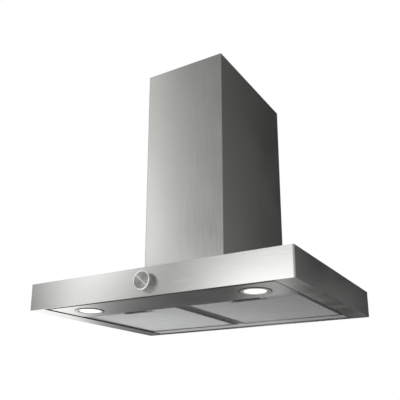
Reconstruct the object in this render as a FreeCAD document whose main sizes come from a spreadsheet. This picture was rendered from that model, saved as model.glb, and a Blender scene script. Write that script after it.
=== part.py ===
import FreeCAD
import Part

import math
import os
import re

import Sketcher

# Wall mount range hood with a shallow box canopy, one rotary control, two grease filters,
# two lamps, a twin inlet blower in its own case and a telescopic chimney cover.
# Millimetres. +Z is up, the wall is the plane Y = 0 and the hood stands out towards -Y.
# The origin is midway between the two wall screws of the hanging bracket.
# In the names below, a depth is a distance from the wall, so it is minus Y.

# Sizes that a designer sets, one value each
SIZES = {
    # Canopy
    "canopy_width": 600.0,
    "canopy_depth": 445.0,
    "canopy_height": 57.0,
    "canopy_sheet": 1.2,
    "canopy_corner": 3.0,
    "side_flange": 38.0,
    "front_flange": 3.0,
    "rear_flange": 12.0,
    "hang_height": 250.0,
    # Underside panel with the lamps, rear rail, side rails and middle rail
    "panel_gap": 2.0,
    "panel_depth": 118.0,
    "panel_sheet": 1.0,
    "panel_overlap": 8.0,
    "panel_upstand": 9.0,
    "rail_depth": 46.5,
    "side_rail_reach": 20.0,
    "divider_width": 16.0,
    "divider_shelf": 8.0,
    # Lamps
    "lamp_inset": 105.0,
    "lamp_setback": 70.0,
    "lamp_radius": 27.7,
    "lamp_rim_width": 3.3,
    "lamp_rim_thick": 1.0,
    "lamp_ledge_width": 5.7,
    "lens_thick": 2.5,
    "lamp_can_height": 22.0,
    # Control knob and its switch
    "knob_radius": 18.5,
    "knob_height": 14.0,
    "knob_skirt": 2.0,
    "knob_face_thick": 1.0,
    "knob_recess_radius": 10.0,
    "knob_recess_depth": 3.0,
    "pointer_width": 0.8,
    "pointer_height": 0.3,
    "shaft_radius": 3.0,
    "shaft_inside": 12.0,
    "bushing_radius": 4.5,
    "bushing_height": 1.9,
    "switch_width": 26.0,
    "switch_depth": 15.0,
    "nut_width": 13.0,
    "nut_thick": 1.5,
    # Electronics above the lamp panel
    "control_lamp_gap": 17.3,
    "control_switch_gap": 27.0,
    "control_depth": 54.0,
    "control_height": 30.0,
    "driver_lamp_gap": 28.3,
    "driver_switch_gap": 38.0,
    "driver_depth": 42.0,
    "driver_height": 22.0,
    "case_corner": 3.0,
    # Grease filters
    "filter_recess": 1.5,
    "filter_thick": 11.0,
    "filter_side_gap": 6.0,
    "filter_middle_gap": 2.0,
    "filter_back_gap": 4.0,
    "filter_front_gap": 1.5,
    "filter_lip": 7.0,
    "filter_sheet": 1.0,
    "mesh_pitch": 50.0,
    "mesh_row_pitch": 40.0,
    "mesh_strand": 4.0,
    "pleat_pitch": 16.0,
    "pleat_sheet": 0.8,
    "tongue_width": 24.0,
    "tongue_thick": 1.5,
    "tongue_reach": 6.5,
    "tongue_inset": 40.0,
    "pivot_gap": 2.7,
    # Filter latches
    "latch_offset": 12.0,
    "latch_length": 64.0,
    "latch_depth": 24.0,
    "latch_wall": 1.2,
    "latch_slide_depth": 12.5,
    "latch_plate": 2.0,
    "latch_grip": 2.2,
    "latch_travel": 7.0,
    "latch_tongue": 18.0,
    "latch_bite": 6.0,
    # Blower case, hanging bracket and terminal box
    "case_side_gap": 12.0,
    "case_front_gap": 23.0,
    "case_height": 270.0,
    "case_sheet": 1.2,
    "case_flange": 10.0,
    "case_back_step": 2.8,
    "bracket_width": 150.0,
    "bracket_sheet": 2.0,
    "bracket_below": 18.0,
    "bracket_above": 16.0,
    "bracket_screws": 110.0,
    "bracket_hole": 4.0,
    "access_hole": 9.0,
    "hook_spacing": 40.0,
    "hook_width": 20.0,
    "hook_reach": 7.0,
    "hook_rise": 10.0,
    "hook_sheet": 1.6,
    "window_drop": 14.0,
    "lower_screws": 120.0,
    "lower_screw_rise": 30.0,
    "lower_screw_hole": 3.0,
    "terminal_width": 110.0,
    "terminal_height": 30.0,
    "terminal_lid_thick": 3.0,
    "terminal_front_gap": 8.0,
    "terminal_collar_gap": 34.0,
    "gland_radius": 8.0,
    "gland_bore_radius": 4.5,
    "gland_height": 20.0,
    "gland_nut_width": 20.0,
    "gland_nut_height": 5.0,
    # Blower
    "scroll_front_gap": 8.3,
    "scroll_lift": 8.0,
    "fan_radius": 75.0,
    "fan_ring_width": 13.0,
    "fan_width": 88.0,
    "fan_plate_thick": 2.0,
    "fan_hub_radius": 12.0,
    "blade_thick": 1.2,
    "blade_count": 20.0,
    "scroll_start": 92.0,
    "scroll_step": 16.0,
    "scroll_wall": 1.5,
    "scroll_half": 50.0,
    "scroll_lip": 12.0,
    "cutoff_offset": 30.0,
    "cutoff_radius": 8.0,
    "inlet_radius": 60.0,
    "motor_radius": 42.0,
    "motor_offset": 8.0,
    "motor_length": 52.0,
    "motor_bore_depth": 14.0,
    "motor_arm_width": 14.0,
    "motor_ring_width": 9.0,
    "motor_plate_thick": 2.0,
    "carrier_reach": 12.0,
    "spindle_radius": 4.0,
    # Outlet collar with its two non-return flaps
    "collar_radius": 74.5,
    "collar_wall": 2.0,
    "collar_height": 55.0,
    "collar_flange_width": 9.5,
    "collar_flange_thick": 2.0,
    "collar_ledge_width": 3.0,
    "collar_ledge_height": 10.0,
    "flap_thick": 1.2,
    "flap_rim_gap": 0.7,
    "flap_knuckle_radius": 2.8,
    "flap_knuckle_length": 30.0,
    "flap_pin_radius": 1.5,
    # Chimney covers
    "chimney_width": 196.0,
    "chimney_depth": 315.0,
    "chimney_height": 513.0,
    "chimney_sheet": 1.2,
    "chimney_corner": 2.0,
    "chimney_return": 8.0,
    "chimney_flange": 9.0,
    "upper_sheet": 1.0,
    "upper_gap": 0.8,
    "upper_return": 7.0,
    "upper_drop": 1.8,
    "vent_length": 46.0,
    "vent_height": 4.0,
    "vent_pitch": 14.0,
    "vent_rows": 5.0,
    "vent_drop": 64.0,
    "top_bracket_height": 30.0,
    "top_bracket_drop": 10.0,
    "top_bracket_sheet": 1.5,
    "top_bracket_wing": 30.0,
    "top_bracket_foot": 70.0,
    "top_bracket_screws": 120.0,
    "top_bracket_hole": 3.0,
    # Screws and clearances
    "screw_radius": 2.0,
    "screw_head_width": 6.0,
    "screw_head_height": 2.2,
    "screw_play": 0.2,
    "screw_tail": 3.0,
    "seat_gap": 0.3,
    "running_gap": 0.05,
    "wall_play": 0.2,
    "overrun": 5.0,
}

# Places and sizes that follow from the ones above
PLACES = {
    "half_width": "canopy_width / 2",
    "underside": "0 - hang_height",
    "flange_top": "underside + canopy_sheet",
    "canopy_top": "underside + canopy_height",
    "canopy_ceiling": "canopy_top - canopy_sheet",
    "canopy_middle": "underside + canopy_height / 2",
    "bay_half": "half_width - side_flange",
    "inner_half": "half_width - canopy_sheet",
    "inner_front": "canopy_depth - canopy_sheet",
    "bay_front": "canopy_depth - front_flange",
    "panel_front": "bay_front - panel_gap",
    "panel_back": "panel_front - panel_depth",
    "panel_half": "bay_half + panel_overlap",
    "panel_top": "flange_top + panel_sheet",
    "lamp_across": "half_width - lamp_inset",
    "lamp_depth": "canopy_depth - lamp_setback",
    "control_inner": "switch_width / 2 + control_switch_gap",
    "control_outer": "lamp_across - lamp_radius - control_lamp_gap",
    "driver_inner": "switch_width / 2 + driver_switch_gap",
    "driver_outer": "lamp_across - lamp_radius - driver_lamp_gap",
    "tongue_low": "panel_top + seat_gap",
    "filter_low": "underside + filter_recess",
    "filter_high": "filter_low + filter_thick",
    "filter_inner": "divider_width / 2 + filter_middle_gap",
    "filter_outer": "bay_half - filter_side_gap",
    "filter_back": "rail_depth + filter_back_gap",
    "filter_front": "panel_back - filter_front_gap",
    "filter_top_gap": "filter_high + seat_gap",
    "pivot_depth": "rail_depth + pivot_gap",
    "latch_centre": "(filter_inner + filter_outer) / 2",
    "latch_front": "filter_front - filter_sheet",
    "latch_back": "latch_front - latch_depth",
    "latch_top": "filter_high - filter_sheet - seat_gap",
    "slide_front": "latch_front - latch_wall - seat_gap",
    "slide_back": "slide_front - latch_slide_depth",
    "slide_low": "tongue_low + tongue_thick",
    "latch_tongue_top": "slide_low + latch_plate / 2",
    "latch_slot_top": "latch_tongue_top + seat_gap",
    "case_half": "chimney_width / 2 - case_side_gap",
    "case_depth": "chimney_depth - case_front_gap",
    "case_top": "canopy_top + case_height",
    "case_ceiling": "case_top - case_sheet",
    "case_back": "case_back_step + case_sheet",
    "case_mouth_half": "case_half - case_sheet - case_flange",
    "case_mouth_front": "case_depth - case_sheet - case_flange",
    "case_mouth_back": "case_back + case_flange",
    "fan_depth": "case_depth - case_sheet - scroll_front_gap - scroll_wall - scroll_start - scroll_step / 2",
    "fan_height": "canopy_top + scroll_lift + scroll_start + scroll_step * 3 / 2 + scroll_wall",
    "throat_reach": "scroll_start + scroll_step * 5 / 2",
    "case_screw_half": "case_half - case_sheet - case_flange / 2",
    "collar_depth": "fan_depth - (cutoff_offset + throat_reach) / 2",
    "terminal_front": "case_depth - terminal_front_gap",
    "terminal_back": "collar_depth + collar_radius + collar_flange_width + terminal_collar_gap",
    "terminal_top": "case_top + terminal_height",
    "collar_inner": "collar_radius - collar_wall",
    "collar_mouth": "collar_inner - collar_ledge_width",
    "collar_screw_circle": "collar_radius + collar_flange_width / 2",
    "ledge_top": "case_top + collar_ledge_height",
    "flap_low": "ledge_top + seat_gap",
    "flap_axis": "flap_low + flap_knuckle_radius",
    "chimney_half": "chimney_width / 2",
    "chimney_top": "canopy_top + chimney_height",
    "chimney_inner_half": "chimney_half - chimney_sheet",
    "chimney_inner_front": "chimney_depth - chimney_sheet",
    "upper_half": "chimney_inner_half - upper_gap",
    "upper_front": "chimney_inner_front - upper_gap",
    "upper_back": "chimney_sheet + upper_gap",
    "upper_low": "canopy_top + chimney_sheet",
    "upper_top": "chimney_top - upper_drop",
    "upper_inner_half": "upper_half - upper_sheet",
    "top_bracket_high": "upper_top - top_bracket_drop",
    "top_bracket_low": "top_bracket_high - top_bracket_height",
    "top_bracket_half": "upper_inner_half - seat_gap",
    "top_bracket_back": "upper_back + upper_sheet + seat_gap",
    "top_bracket_middle": "(top_bracket_low + top_bracket_high) / 2",
}

# What counts as nothing where two places are compared
SLIGHT = 1e-6
# The pointer line across the knob leans like this, in degrees from the horizontal
POINTER_LEAN = -43.0
# The collar screws start here round the flange, in degrees
COLLAR_SCREW_START = 45.0
# How far a fan blade has turned at its inner end, middle and outer end, in radians
BLADE_TURNS = (0.0, 0.07, 0.2)
SIDES = {"left": -1, "right": 1}
QUARTER, WHOLE = 90.0, 360.0

DOC = FreeCAD.newDocument("RangeHood")
LINKS = {name: "Sizes." + name for name in SIZES} | {name: "Places." + name for name in PLACES}
CUTS = []
PARTS = []


# The two sheets and the formulas that read them


def make_sheets():
    """Fill one sheet with the set sizes and one with the places worked out from them."""
    sizes = DOC.addObject("Spreadsheet::Sheet", "Sizes")
    for row, (name, size) in enumerate(SIZES.items(), start=1):
        sizes.set(f"A{row}", name)
        sizes.set(f"B{row}", str(size))
        sizes.setAlias(f"B{row}", name)
    places = DOC.addObject("Spreadsheet::Sheet", "Places")
    for row, (name, formula) in enumerate(PLACES.items(), start=1):
        places.set(f"A{row}", name)
        places.set(f"B{row}", "=" + linked(formula, own=PLACES))
        places.setAlias(f"B{row}", name)
    DOC.recompute()


def linked(formula, own=()):
    """A formula in plain size names, as an expression that reads the sheets."""

    def place(found):
        name = found.group()
        return name if name in own else LINKS.get(name, name)

    return re.sub(r"\b[a-z]\w*\b", place, formula)


def bind(thing, prop, formula):
    """Bind a property of a document object to a formula."""
    thing.setExpression(prop, linked(formula))


def number(formula):
    """The present value of a formula."""
    return float(DOC.Sizes.evalExpression(linked(formula)))


# Sketches and the features made from them


def outline(*corners):
    """A closed outline of straight edges, each corner dimensioned from the sketch's origin."""

    def draw(sketch):
        first = sketch.GeometryCount
        count = len(corners)
        ends = [FreeCAD.Vector(number(x), number(y), 0) for x, y in corners]
        following = [(i + 1) % count for i in range(count)]
        sketch.addGeometry([Part.LineSegment(ends[i], ends[following[i]]) for i in range(count)], False)
        sketch.addConstraint(
            [Sketcher.Constraint("Coincident", first + i, 2, first + following[i], 1) for i in range(count)]
        )
        for i, (x, y) in enumerate(corners):
            dimension(sketch, "DistanceX", first + i, 1, x)
            dimension(sketch, "DistanceY", first + i, 1, y)

    return draw


def rectangle(left, right, low, high):
    """A rectangle between two places across and two places up."""
    return outline((left, low), (right, low), (right, high), (left, high))


def plan(left, right, near, far):
    """A rectangle seen from above, between two places across and two distances from the wall."""
    return rectangle(left, right, f"0 - ({far})", f"0 - ({near})")


def circle(x, y, radius):
    """A circle with its centre and radius dimensioned."""

    def draw(sketch):
        ring = sketch.GeometryCount
        centre = FreeCAD.Vector(number(x), number(y), 0)
        sketch.addGeometry(Part.Circle(centre, FreeCAD.Vector(0, 0, 1), number(radius)), False)
        value = sketch.addConstraint(Sketcher.Constraint("Radius", ring, number(radius)))
        bind(sketch, f"Constraints[{value}]", radius)
        dimension(sketch, "DistanceX", ring, 3, x)
        dimension(sketch, "DistanceY", ring, 3, y)

    return draw


def hexagon(width):
    """A hexagon about the sketch's origin, of a width across its flats."""
    flat, corner = f"({width}) / 2", f"({width}) / 2 / cos(30 deg)"
    return outline((corner, "0"), (f"{corner} / 2", flat), (f"0 - {corner} / 2", flat), (f"0 - {corner}", "0"),
                   (f"0 - {corner} / 2", f"0 - {flat}"), (f"{corner} / 2", f"0 - {flat}"))


def dimension(sketch, kind, edge, point, formula):
    """Dimension a point of an edge from the sketch's origin."""
    value = sketch.addConstraint(Sketcher.Constraint(kind, -1, 1, edge, point, number(formula)))
    bind(sketch, f"Constraints[{value}]", formula)


def new_body(label):
    """A body whose label names its file."""
    body = DOC.addObject("PartDesign::Body", label)
    body.Label = label
    PARTS.append(body)
    return body


def origin_plane(body, role):
    """One of the body's own origin planes."""
    return next(feature for feature in body.Origin.OriginFeatures if feature.Role == role)


def sketch_on(body, role, offset, loops):
    """A sketch parallel to an origin plane, moved along the plane's normal."""
    sketch = body.newObject("Sketcher::SketchObject", body.Name + "_sketch")
    sketch.AttachmentSupport = [(origin_plane(body, role), "")]
    sketch.MapMode = "FlatFace"
    bind(sketch, "AttachmentOffset.Base.z", offset)
    for draw in loops:
        draw(sketch)
    sketch.Visibility = False
    return sketch


def pad(body, role, low, high, *loops):
    """Add the loops as a solid between two places along the plane's normal."""
    feature = body.newObject("PartDesign::Pad", body.Name + "_pad")
    feature.Profile = sketch_on(body, role, low, loops)
    bind(feature, "Length", f"({high}) - ({low})")
    return feature


def pocket(body, role, low, high, *loops):
    """Take the loops out of the body between two places along the plane's normal."""
    before = body.Tip
    feature = body.newObject("PartDesign::Pocket", body.Name + "_pocket")
    feature.Profile = sketch_on(body, role, high, loops)
    bind(feature, "Length", f"({high}) - ({low})")
    CUTS.append((before, feature))
    return feature


def revolve(body, corners):
    """Turn an outline of (radius, height) corners about the body's own Z axis."""
    feature = body.newObject("PartDesign::Revolution", body.Name + "_turned")
    feature.Profile = sketch_on(body, "XZ_Plane", "0", [outline(*corners)])
    feature.ReferenceAxis = (feature.Profile[0], ["V_Axis"])
    feature.Angle = WHOLE
    return feature


def fillet(body, radius, chosen):
    """Round the edges of the body's tip that the test chooses."""
    DOC.recompute()
    base = body.Tip
    names = [f"Edge{i}" for i, edge in enumerate(base.Shape.Edges, start=1) if chosen(edge)]
    feature = body.newObject("PartDesign::Fillet", body.Name + "_rounded")
    feature.Base = (base, names)
    bind(feature, "Radius", radius)


def upright(edge):
    """True for a straight edge along Z."""
    ends = [vertex.Point for vertex in edge.Vertexes]
    return len(ends) == 2 and (ends[1] - ends[0]).cross(FreeCAD.Vector(0, 0, 1)).Length < SLIGHT


def stand(body, x="0", depth="0", height="0"):
    """Place a body, with its place bound to formulas."""
    bind(body, "Placement.Base.x", x)
    bind(body, "Placement.Base.y", f"0 - ({depth})")
    bind(body, "Placement.Base.z", height)


def face_out(body):
    """Turn a body so that its own Z axis points out of the hood's front."""
    body.Placement = FreeCAD.Placement(FreeCAD.Vector(), FreeCAD.Rotation(FreeCAD.Vector(1, 0, 0), QUARTER))


def shaped(label, shape):
    """A sub-part whose shape comes from Part's own functions."""
    feature = DOC.addObject("Part::Feature", label)
    feature.Label = label
    feature.Shape = shape
    PARTS.append(feature)
    return feature


# Canopy


def canopy_shell():
    """Folded box with flanges round its open underside, a hole for the blower and one for the switch."""
    body = new_body("canopy_shell")
    pad(body, "XY_Plane", "underside", "canopy_top", plan("0 - half_width", "half_width", "0", "canopy_depth"))
    fillet(body, "canopy_corner", upright)
    pocket(body, "XY_Plane", "flange_top", "canopy_ceiling",
           plan("0 - inner_half", "inner_half", "canopy_sheet", "inner_front"))
    pocket(body, "XY_Plane", "underside - overrun", "flange_top + canopy_sheet",
           plan("0 - bay_half", "bay_half", "rear_flange", "bay_front"))
    pocket(body, "XY_Plane", "canopy_ceiling - canopy_sheet", "canopy_top + overrun",
           plan("0 - case_mouth_half", "case_mouth_half", "case_mouth_back", "case_mouth_front"))
    pocket(body, "XY_Plane", "canopy_ceiling - canopy_sheet", "canopy_top + overrun", *case_screw_holes())
    pocket(body, "XY_Plane", "canopy_ceiling - canopy_sheet", "canopy_top + overrun", *chimney_screw_holes())
    pocket(body, "XZ_Plane", "inner_front - canopy_sheet", "canopy_depth + overrun",
           circle("0", "canopy_middle", "bushing_radius + wall_play"))


def case_screw_places():
    """Where the four screws hold the blower case down on the canopy, as formulas across and in depth."""
    near = "case_mouth_back - case_flange / 2"
    far = "case_mouth_front + case_flange / 2"
    return [(f"{side} * case_screw_half", depth) for side in SIDES.values() for depth in (near, far)]


def chimney_screw_places():
    """Where the two screws hold the lower chimney cover down on the canopy."""
    across = "(chimney_inner_half - chimney_flange / 2)"
    return [(f"{side} * {across}", "chimney_depth / 2") for side in SIDES.values()]


def case_screw_holes():
    return [circle(x, f"0 - ({depth})", "screw_radius + screw_play") for x, depth in case_screw_places()]


def chimney_screw_holes():
    return [circle(x, f"0 - ({depth})", "screw_radius + screw_play") for x, depth in chimney_screw_places()]


def light_panel():
    """Front strip of the underside, with a hole for each lamp and a stiffening upstand along its back."""
    body = new_body("light_panel")
    pad(body, "XY_Plane", "flange_top", "panel_top",
        plan("0 - panel_half", "panel_half", "panel_back", "panel_front"))
    pad(body, "XY_Plane", "flange_top", "flange_top + panel_upstand",
        plan("0 - panel_half", "panel_half", "panel_front - panel_sheet", "panel_front"))
    holes = [circle(f"{side} * lamp_across", "0 - lamp_depth", "lamp_radius + wall_play")
             for side in SIDES.values()]
    pocket(body, "XY_Plane", "flange_top - overrun", "panel_top + panel_sheet", *holes)


def rear_rail():
    """Strip along the back of the underside that the filters' rear tongues rest on."""
    body = new_body("rear_rail")
    pad(body, "XY_Plane", "flange_top", "panel_top",
        plan("0 - panel_half", "panel_half", "canopy_sheet", "rail_depth"))
    pad(body, "XY_Plane", "flange_top", "flange_top + panel_upstand",
        plan("0 - panel_half", "panel_half", "canopy_sheet", "canopy_sheet + panel_sheet"))


def side_rail(name, side):
    """Stepped rail that closes the gap between a side flange and the filter beside it."""
    body = new_body(f"side_rail_{name}")
    outer = f"{side} * (panel_half - panel_sheet)"
    leg = f"{side} * (panel_half - panel_sheet * 2)"
    inner = f"{side} * (panel_half - side_rail_reach)"
    top = "(filter_top_gap + panel_sheet)"
    pad(body, "XZ_Plane", "rail_depth", "panel_back",
        outline((outer, "flange_top"), (outer, top), (inner, top), (inner, "filter_top_gap"),
                (leg, "filter_top_gap"), (leg, "flange_top")))


def filter_divider():
    """Hat section between the two filters. Its ends lie on the lamp panel and on the rear rail."""
    body = new_body("filter_divider")
    foot = "divider_width / 2"
    wall = "(divider_width / 2 - panel_sheet)"
    shelf = "(divider_width / 2 + divider_shelf)"
    floor = "(panel_top + panel_sheet)"
    top = "(filter_top_gap + panel_sheet)"
    pad(body, "XZ_Plane", "rail_depth - panel_overlap", "panel_back + panel_overlap",
        outline((f"0 - {foot}", "panel_top"), (foot, "panel_top"), (foot, "filter_top_gap"),
                (shelf, "filter_top_gap"), (shelf, top), (wall, top), (wall, floor),
                (f"0 - {wall}", floor), (f"0 - {wall}", top), (f"0 - {shelf}", top),
                (f"0 - {shelf}", "filter_top_gap"), (f"0 - {foot}", "filter_top_gap")))
    # The shelves stop at the filters' ends, so that they clear the upstands
    for side in SIDES.values():
        for near, far in (("rail_depth - panel_overlap - overrun", "rail_depth"),
                          ("panel_back", "panel_back + panel_overlap + overrun")):
            pocket(body, "XY_Plane", "filter_top_gap - seat_gap", f"{top} + overrun",
                   plan(f"{side} * {foot}", f"{side} * ({shelf} + overrun)", near, far))


# Lamps


def lamp(name, side):
    """Recessed lamp: bezel ring under the panel, lens on the ring's inner edge and a can on the lens."""
    bezel = new_body(f"lamp_bezel_{name}")
    pad(bezel, "XY_Plane", "0 - lamp_rim_thick", "0", circle("0", "0", "lamp_radius + lamp_rim_width"),
        circle("0", "0", "lamp_radius - lamp_ledge_width"))
    lens = new_body(f"lamp_lens_{name}")
    pad(lens, "XY_Plane", "0", "lens_thick", circle("0", "0", "lamp_radius"))
    can = new_body(f"lamp_can_{name}")
    pad(can, "XY_Plane", "lens_thick", "lens_thick + lamp_can_height", circle("0", "0", "lamp_radius"))
    for body in (bezel, lens, can):
        stand(body, f"{side} * lamp_across", "lamp_depth", "flange_top")


# Control knob and rotary switch


def control():
    """Round knob with a bright rim and pointer line, on the shaft of a panel switch."""
    place = {"depth": "canopy_depth", "height": "canopy_middle"}
    rim = "(knob_radius - knob_skirt)"
    face_low = "(knob_height - knob_face_thick)"
    bore_top = f"({face_low} - knob_skirt)"
    bore = "(shaft_radius + running_gap)"

    knob = new_body("control_knob")
    revolve(knob, [("0", bore_top), (bore, bore_top), (bore, "knob_recess_depth"),
                   ("knob_recess_radius", "knob_recess_depth"), ("knob_recess_radius", "seat_gap * 2"),
                   ("knob_radius", "seat_gap * 2"), ("knob_radius", face_low), ("0", face_low)])

    ring = new_body("knob_ring")
    pad(ring, "XY_Plane", face_low, "knob_height", circle("0", "0", "knob_radius"), circle("0", "0", rim))

    face = new_body("knob_face")
    pad(face, "XY_Plane", face_low, f"{face_low} + knob_face_thick / 2", circle("0", "0", f"{rim} - seat_gap / 3"))
    long = f"({rim} - pointer_width)"
    line = pad(face, "XY_Plane", face_low, f"{face_low} + knob_face_thick / 2 + pointer_height",
               rectangle(f"0 - {long}", long, "0 - pointer_width / 2", "pointer_width / 2"))
    line.Profile[0].AttachmentOffset = FreeCAD.Placement(
        line.Profile[0].AttachmentOffset.Base, FreeCAD.Rotation(FreeCAD.Vector(0, 0, 1), POINTER_LEAN))

    shaft = new_body("knob_shaft")
    pad(shaft, "XY_Plane", "0 - canopy_sheet - shaft_inside", bore_top, circle("0", "0", "shaft_radius"))

    switch = new_body("rotary_switch")
    half = "switch_width / 2"
    back = "0 - canopy_sheet - switch_depth"
    pad(switch, "XY_Plane", back, "0 - canopy_sheet", rectangle(f"0 - {half}", half, f"0 - {half}", half))
    fillet(switch, "case_corner", upright)
    pad(switch, "XY_Plane", "0 - canopy_sheet", "bushing_height", circle("0", "0", "bushing_radius"))
    pocket(switch, "XY_Plane", "0 - canopy_sheet - shaft_inside - seat_gap", "bushing_height + overrun",
           circle("0", "0", bore))

    nut = new_body("switch_nut")
    pad(nut, "XY_Plane", "0", "nut_thick", hexagon("nut_width"), circle("0", "0", "bushing_radius + running_gap"))

    for body in (knob, ring, face, shaft, switch, nut):
        face_out(body)
        stand(body, **place)


# Electronics that stand on the lamp panel


def electronics():
    """The control board's case and the lamp driver."""
    board = new_body("control_box")
    depth = "(panel_front - panel_upstand)"
    pad(board, "XY_Plane", "panel_top", "panel_top + control_height",
        plan("0 - control_outer", "0 - control_inner", f"{depth} - control_depth", depth))
    fillet(board, "case_corner", upright)
    driver = new_body("lamp_driver")
    pad(driver, "XY_Plane", "panel_top", "panel_top + driver_height",
        plan("driver_inner", "driver_outer", f"{depth} - driver_depth", depth))
    fillet(driver, "case_corner", upright)


# Grease filters


def grease_filter(name, side):
    """Aluminium cassette: folded frame with rear tongues, open mesh below and a pleated sheet inside."""

    def across(low, high):
        return (f"{side} * ({low})", f"{side} * ({high})")

    frame = new_body(f"filter_frame_{name}")
    whole = plan(*across("filter_inner", "filter_outer"), "filter_back", "filter_front")
    window = plan(*across("filter_inner + filter_lip", "filter_outer - filter_lip"),
                  "filter_back + filter_lip", "filter_front - filter_lip")
    hollow = plan(*across("filter_inner + filter_sheet", "filter_outer - filter_sheet"),
                  "filter_back + filter_sheet", "filter_front - filter_sheet")
    pad(frame, "XY_Plane", "filter_low", "filter_low + filter_sheet", whole, window)
    pad(frame, "XY_Plane", "filter_low", "filter_high", whole, hollow)
    pad(frame, "XY_Plane", "filter_high - filter_sheet", "filter_high", whole, window)
    for low in ("filter_inner + tongue_inset - tongue_width / 2", "filter_outer - tongue_inset - tongue_width / 2"):
        pad(frame, "XY_Plane", "tongue_low", "tongue_low + tongue_thick",
            plan(*across(low, f"{low} + tongue_width"), "rail_depth - tongue_reach", "filter_back + filter_sheet"))
    cup = (f"{side} * latch_centre + latch_offset - latch_length / 2",
           f"{side} * latch_centre + latch_offset + latch_length / 2")
    slot = (f"{side} * latch_centre + latch_offset - latch_tongue / 2 - seat_gap",
            f"{side} * latch_centre + latch_offset + latch_tongue / 2 + seat_gap")
    pocket(frame, "XY_Plane", "filter_low - overrun", "filter_low + filter_sheet * 2",
           plan(f"{cup[0]} - seat_gap", f"{cup[1]} + seat_gap", "latch_back - seat_gap", "latch_front"))
    pocket(frame, "XZ_Plane", "latch_front - filter_sheet", "filter_front + overrun",
           rectangle(*slot, "filter_low + filter_sheet / 2", "latch_slot_top"))

    shaped(f"filter_mesh_{name}", mesh_sheet(side))

    core = new_body(f"filter_core_{name}")
    left, right = across("filter_inner + filter_sheet + seat_gap", "filter_outer - filter_sheet - seat_gap")
    pad(core, "XZ_Plane", "filter_back + filter_sheet + seat_gap", "filter_front - filter_sheet - seat_gap",
        outline(*pleats(left, right)))
    pocket(core, "XY_Plane", "filter_low - overrun", "filter_high + overrun",
           plan(f"{cup[0]} - seat_gap", f"{cup[1]} + seat_gap", "latch_back - seat_gap", "filter_front + overrun"))

    housing = new_body(f"latch_cup_{name}")
    pad(housing, "XY_Plane", "filter_low", "latch_top", plan(*cup, "latch_back", "latch_front - seat_gap / 3"))
    pocket(housing, "XY_Plane", "filter_low - overrun", "latch_top - latch_wall",
           plan(f"{cup[0]} + latch_wall", f"{cup[1]} - latch_wall",
                "latch_back + latch_wall", "latch_front - latch_wall"))
    pocket(housing, "XZ_Plane", "latch_front - latch_wall * 2", "latch_front + overrun",
           rectangle(*slot, "filter_low - overrun", "latch_slot_top"))

    slide = new_body(f"filter_latch_{name}")
    plate = (f"{cup[0]} + latch_wall + seat_gap", f"{cup[1]} - latch_wall - seat_gap")
    bar = (f"{slot[0]} + seat_gap", f"{slot[1]} - seat_gap")
    pad(slide, "XY_Plane", "slide_low", "slide_low + latch_plate", plan(*plate, "slide_back", "slide_front"))
    pad(slide, "XY_Plane", "tongue_low", "latch_tongue_top",
        plan(*bar, "slide_front - latch_slide_depth / 2", "panel_back + latch_bite"))
    pad(slide, "XY_Plane", "filter_low + seat_gap", "latch_tongue_top",
        plan(*plate, "slide_back", "slide_back + latch_grip"))


def mesh_sheet(side):
    """One flat sheet with staggered diamond openings, drawn as a face with holes and given its thickness."""
    low, high = number("filter_low + filter_sheet"), number("filter_low + filter_sheet * 2")
    edge = number("filter_sheet + seat_gap")
    left, right = number("filter_inner") + edge, number("filter_outer") - edge
    near, far = number("filter_back") + edge, number("filter_front") - edge
    lip = number("filter_lip")
    strand = number("mesh_strand")
    pitch, row = number("mesh_pitch"), number("mesh_row_pitch")
    half_long, half_short = pitch / 2 - strand, row / 2 - strand / 4
    cup_middle = side * number("latch_centre") + number("latch_offset")
    cup_half = number("latch_length / 2 + seat_gap")
    cup_back = number("latch_back - seat_gap")
    first, last = left + lip, right - lip
    start, stop = near + lip, far - lip
    columns = int((last - first) / pitch)
    rows = int((stop - start) / (row / 2)) - 1
    gap_x = (last - first - columns * pitch) / 2
    gap_y = (stop - start - (rows + 1) * row / 2) / 2
    holes = []
    for j in range(rows):
        shifted = j % 2
        for i in range(columns - shifted):
            across = first + gap_x + pitch * (i + (1 + shifted) / 2)
            depth = start + gap_y + row / 2 * (j + 1)
            middle = side * across
            near_cup = abs(middle - cup_middle) < cup_half + half_long + strand
            if near_cup and depth > cup_back - half_short - strand:
                continue
            ring = [(middle - half_long, depth), (middle, depth - half_short),
                    (middle + half_long, depth), (middle, depth + half_short)]
            holes.append(polygon(ring, low))
    sheet = [(side * left, near), (side * right, near), (side * right, far), (cup_middle + cup_half, far),
             (cup_middle + cup_half, cup_back), (cup_middle - cup_half, cup_back), (cup_middle - cup_half, far),
             (side * left, far)]
    if side < 0:
        sheet = [(side * left, near), (side * right, near), (side * right, far), (cup_middle - cup_half, far),
                 (cup_middle - cup_half, cup_back), (cup_middle + cup_half, cup_back),
                 (cup_middle + cup_half, far), (side * left, far)]
    face = Part.Face(polygon(sheet, low))
    face = face.cut(Part.Compound([Part.Face(hole) for hole in holes])).Faces[0]
    return face.extrude(FreeCAD.Vector(0, 0, high - low))


def polygon(corners, height):
    """A closed wire through (across, depth) corners at one height."""
    points = [FreeCAD.Vector(x, -depth, height) for x, depth in corners]
    return Part.makePolygon(points + points[:1])


def pleats(left, right):
    """Corners of a pleated sheet that fills the space above the mesh, as formulas."""
    count = max(2, round(abs(number(right) - number(left)) / number("pleat_pitch")))
    low = "(filter_low + filter_sheet * 2)"
    high = "(filter_high - filter_sheet - seat_gap)"
    step = f"(({right}) - ({left})) / {2 * count}"
    corners = [(f"({left}) + {step} * {i}", high if i % 2 else f"{low} + pleat_sheet") for i in range(2 * count + 1)]
    under = [(f"({left}) + {step} * {i}", f"{high} - pleat_sheet" if i % 2 else low) for i in range(2 * count + 1)]
    return corners + under[::-1]


# Blower case and what hangs it on the wall


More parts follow.
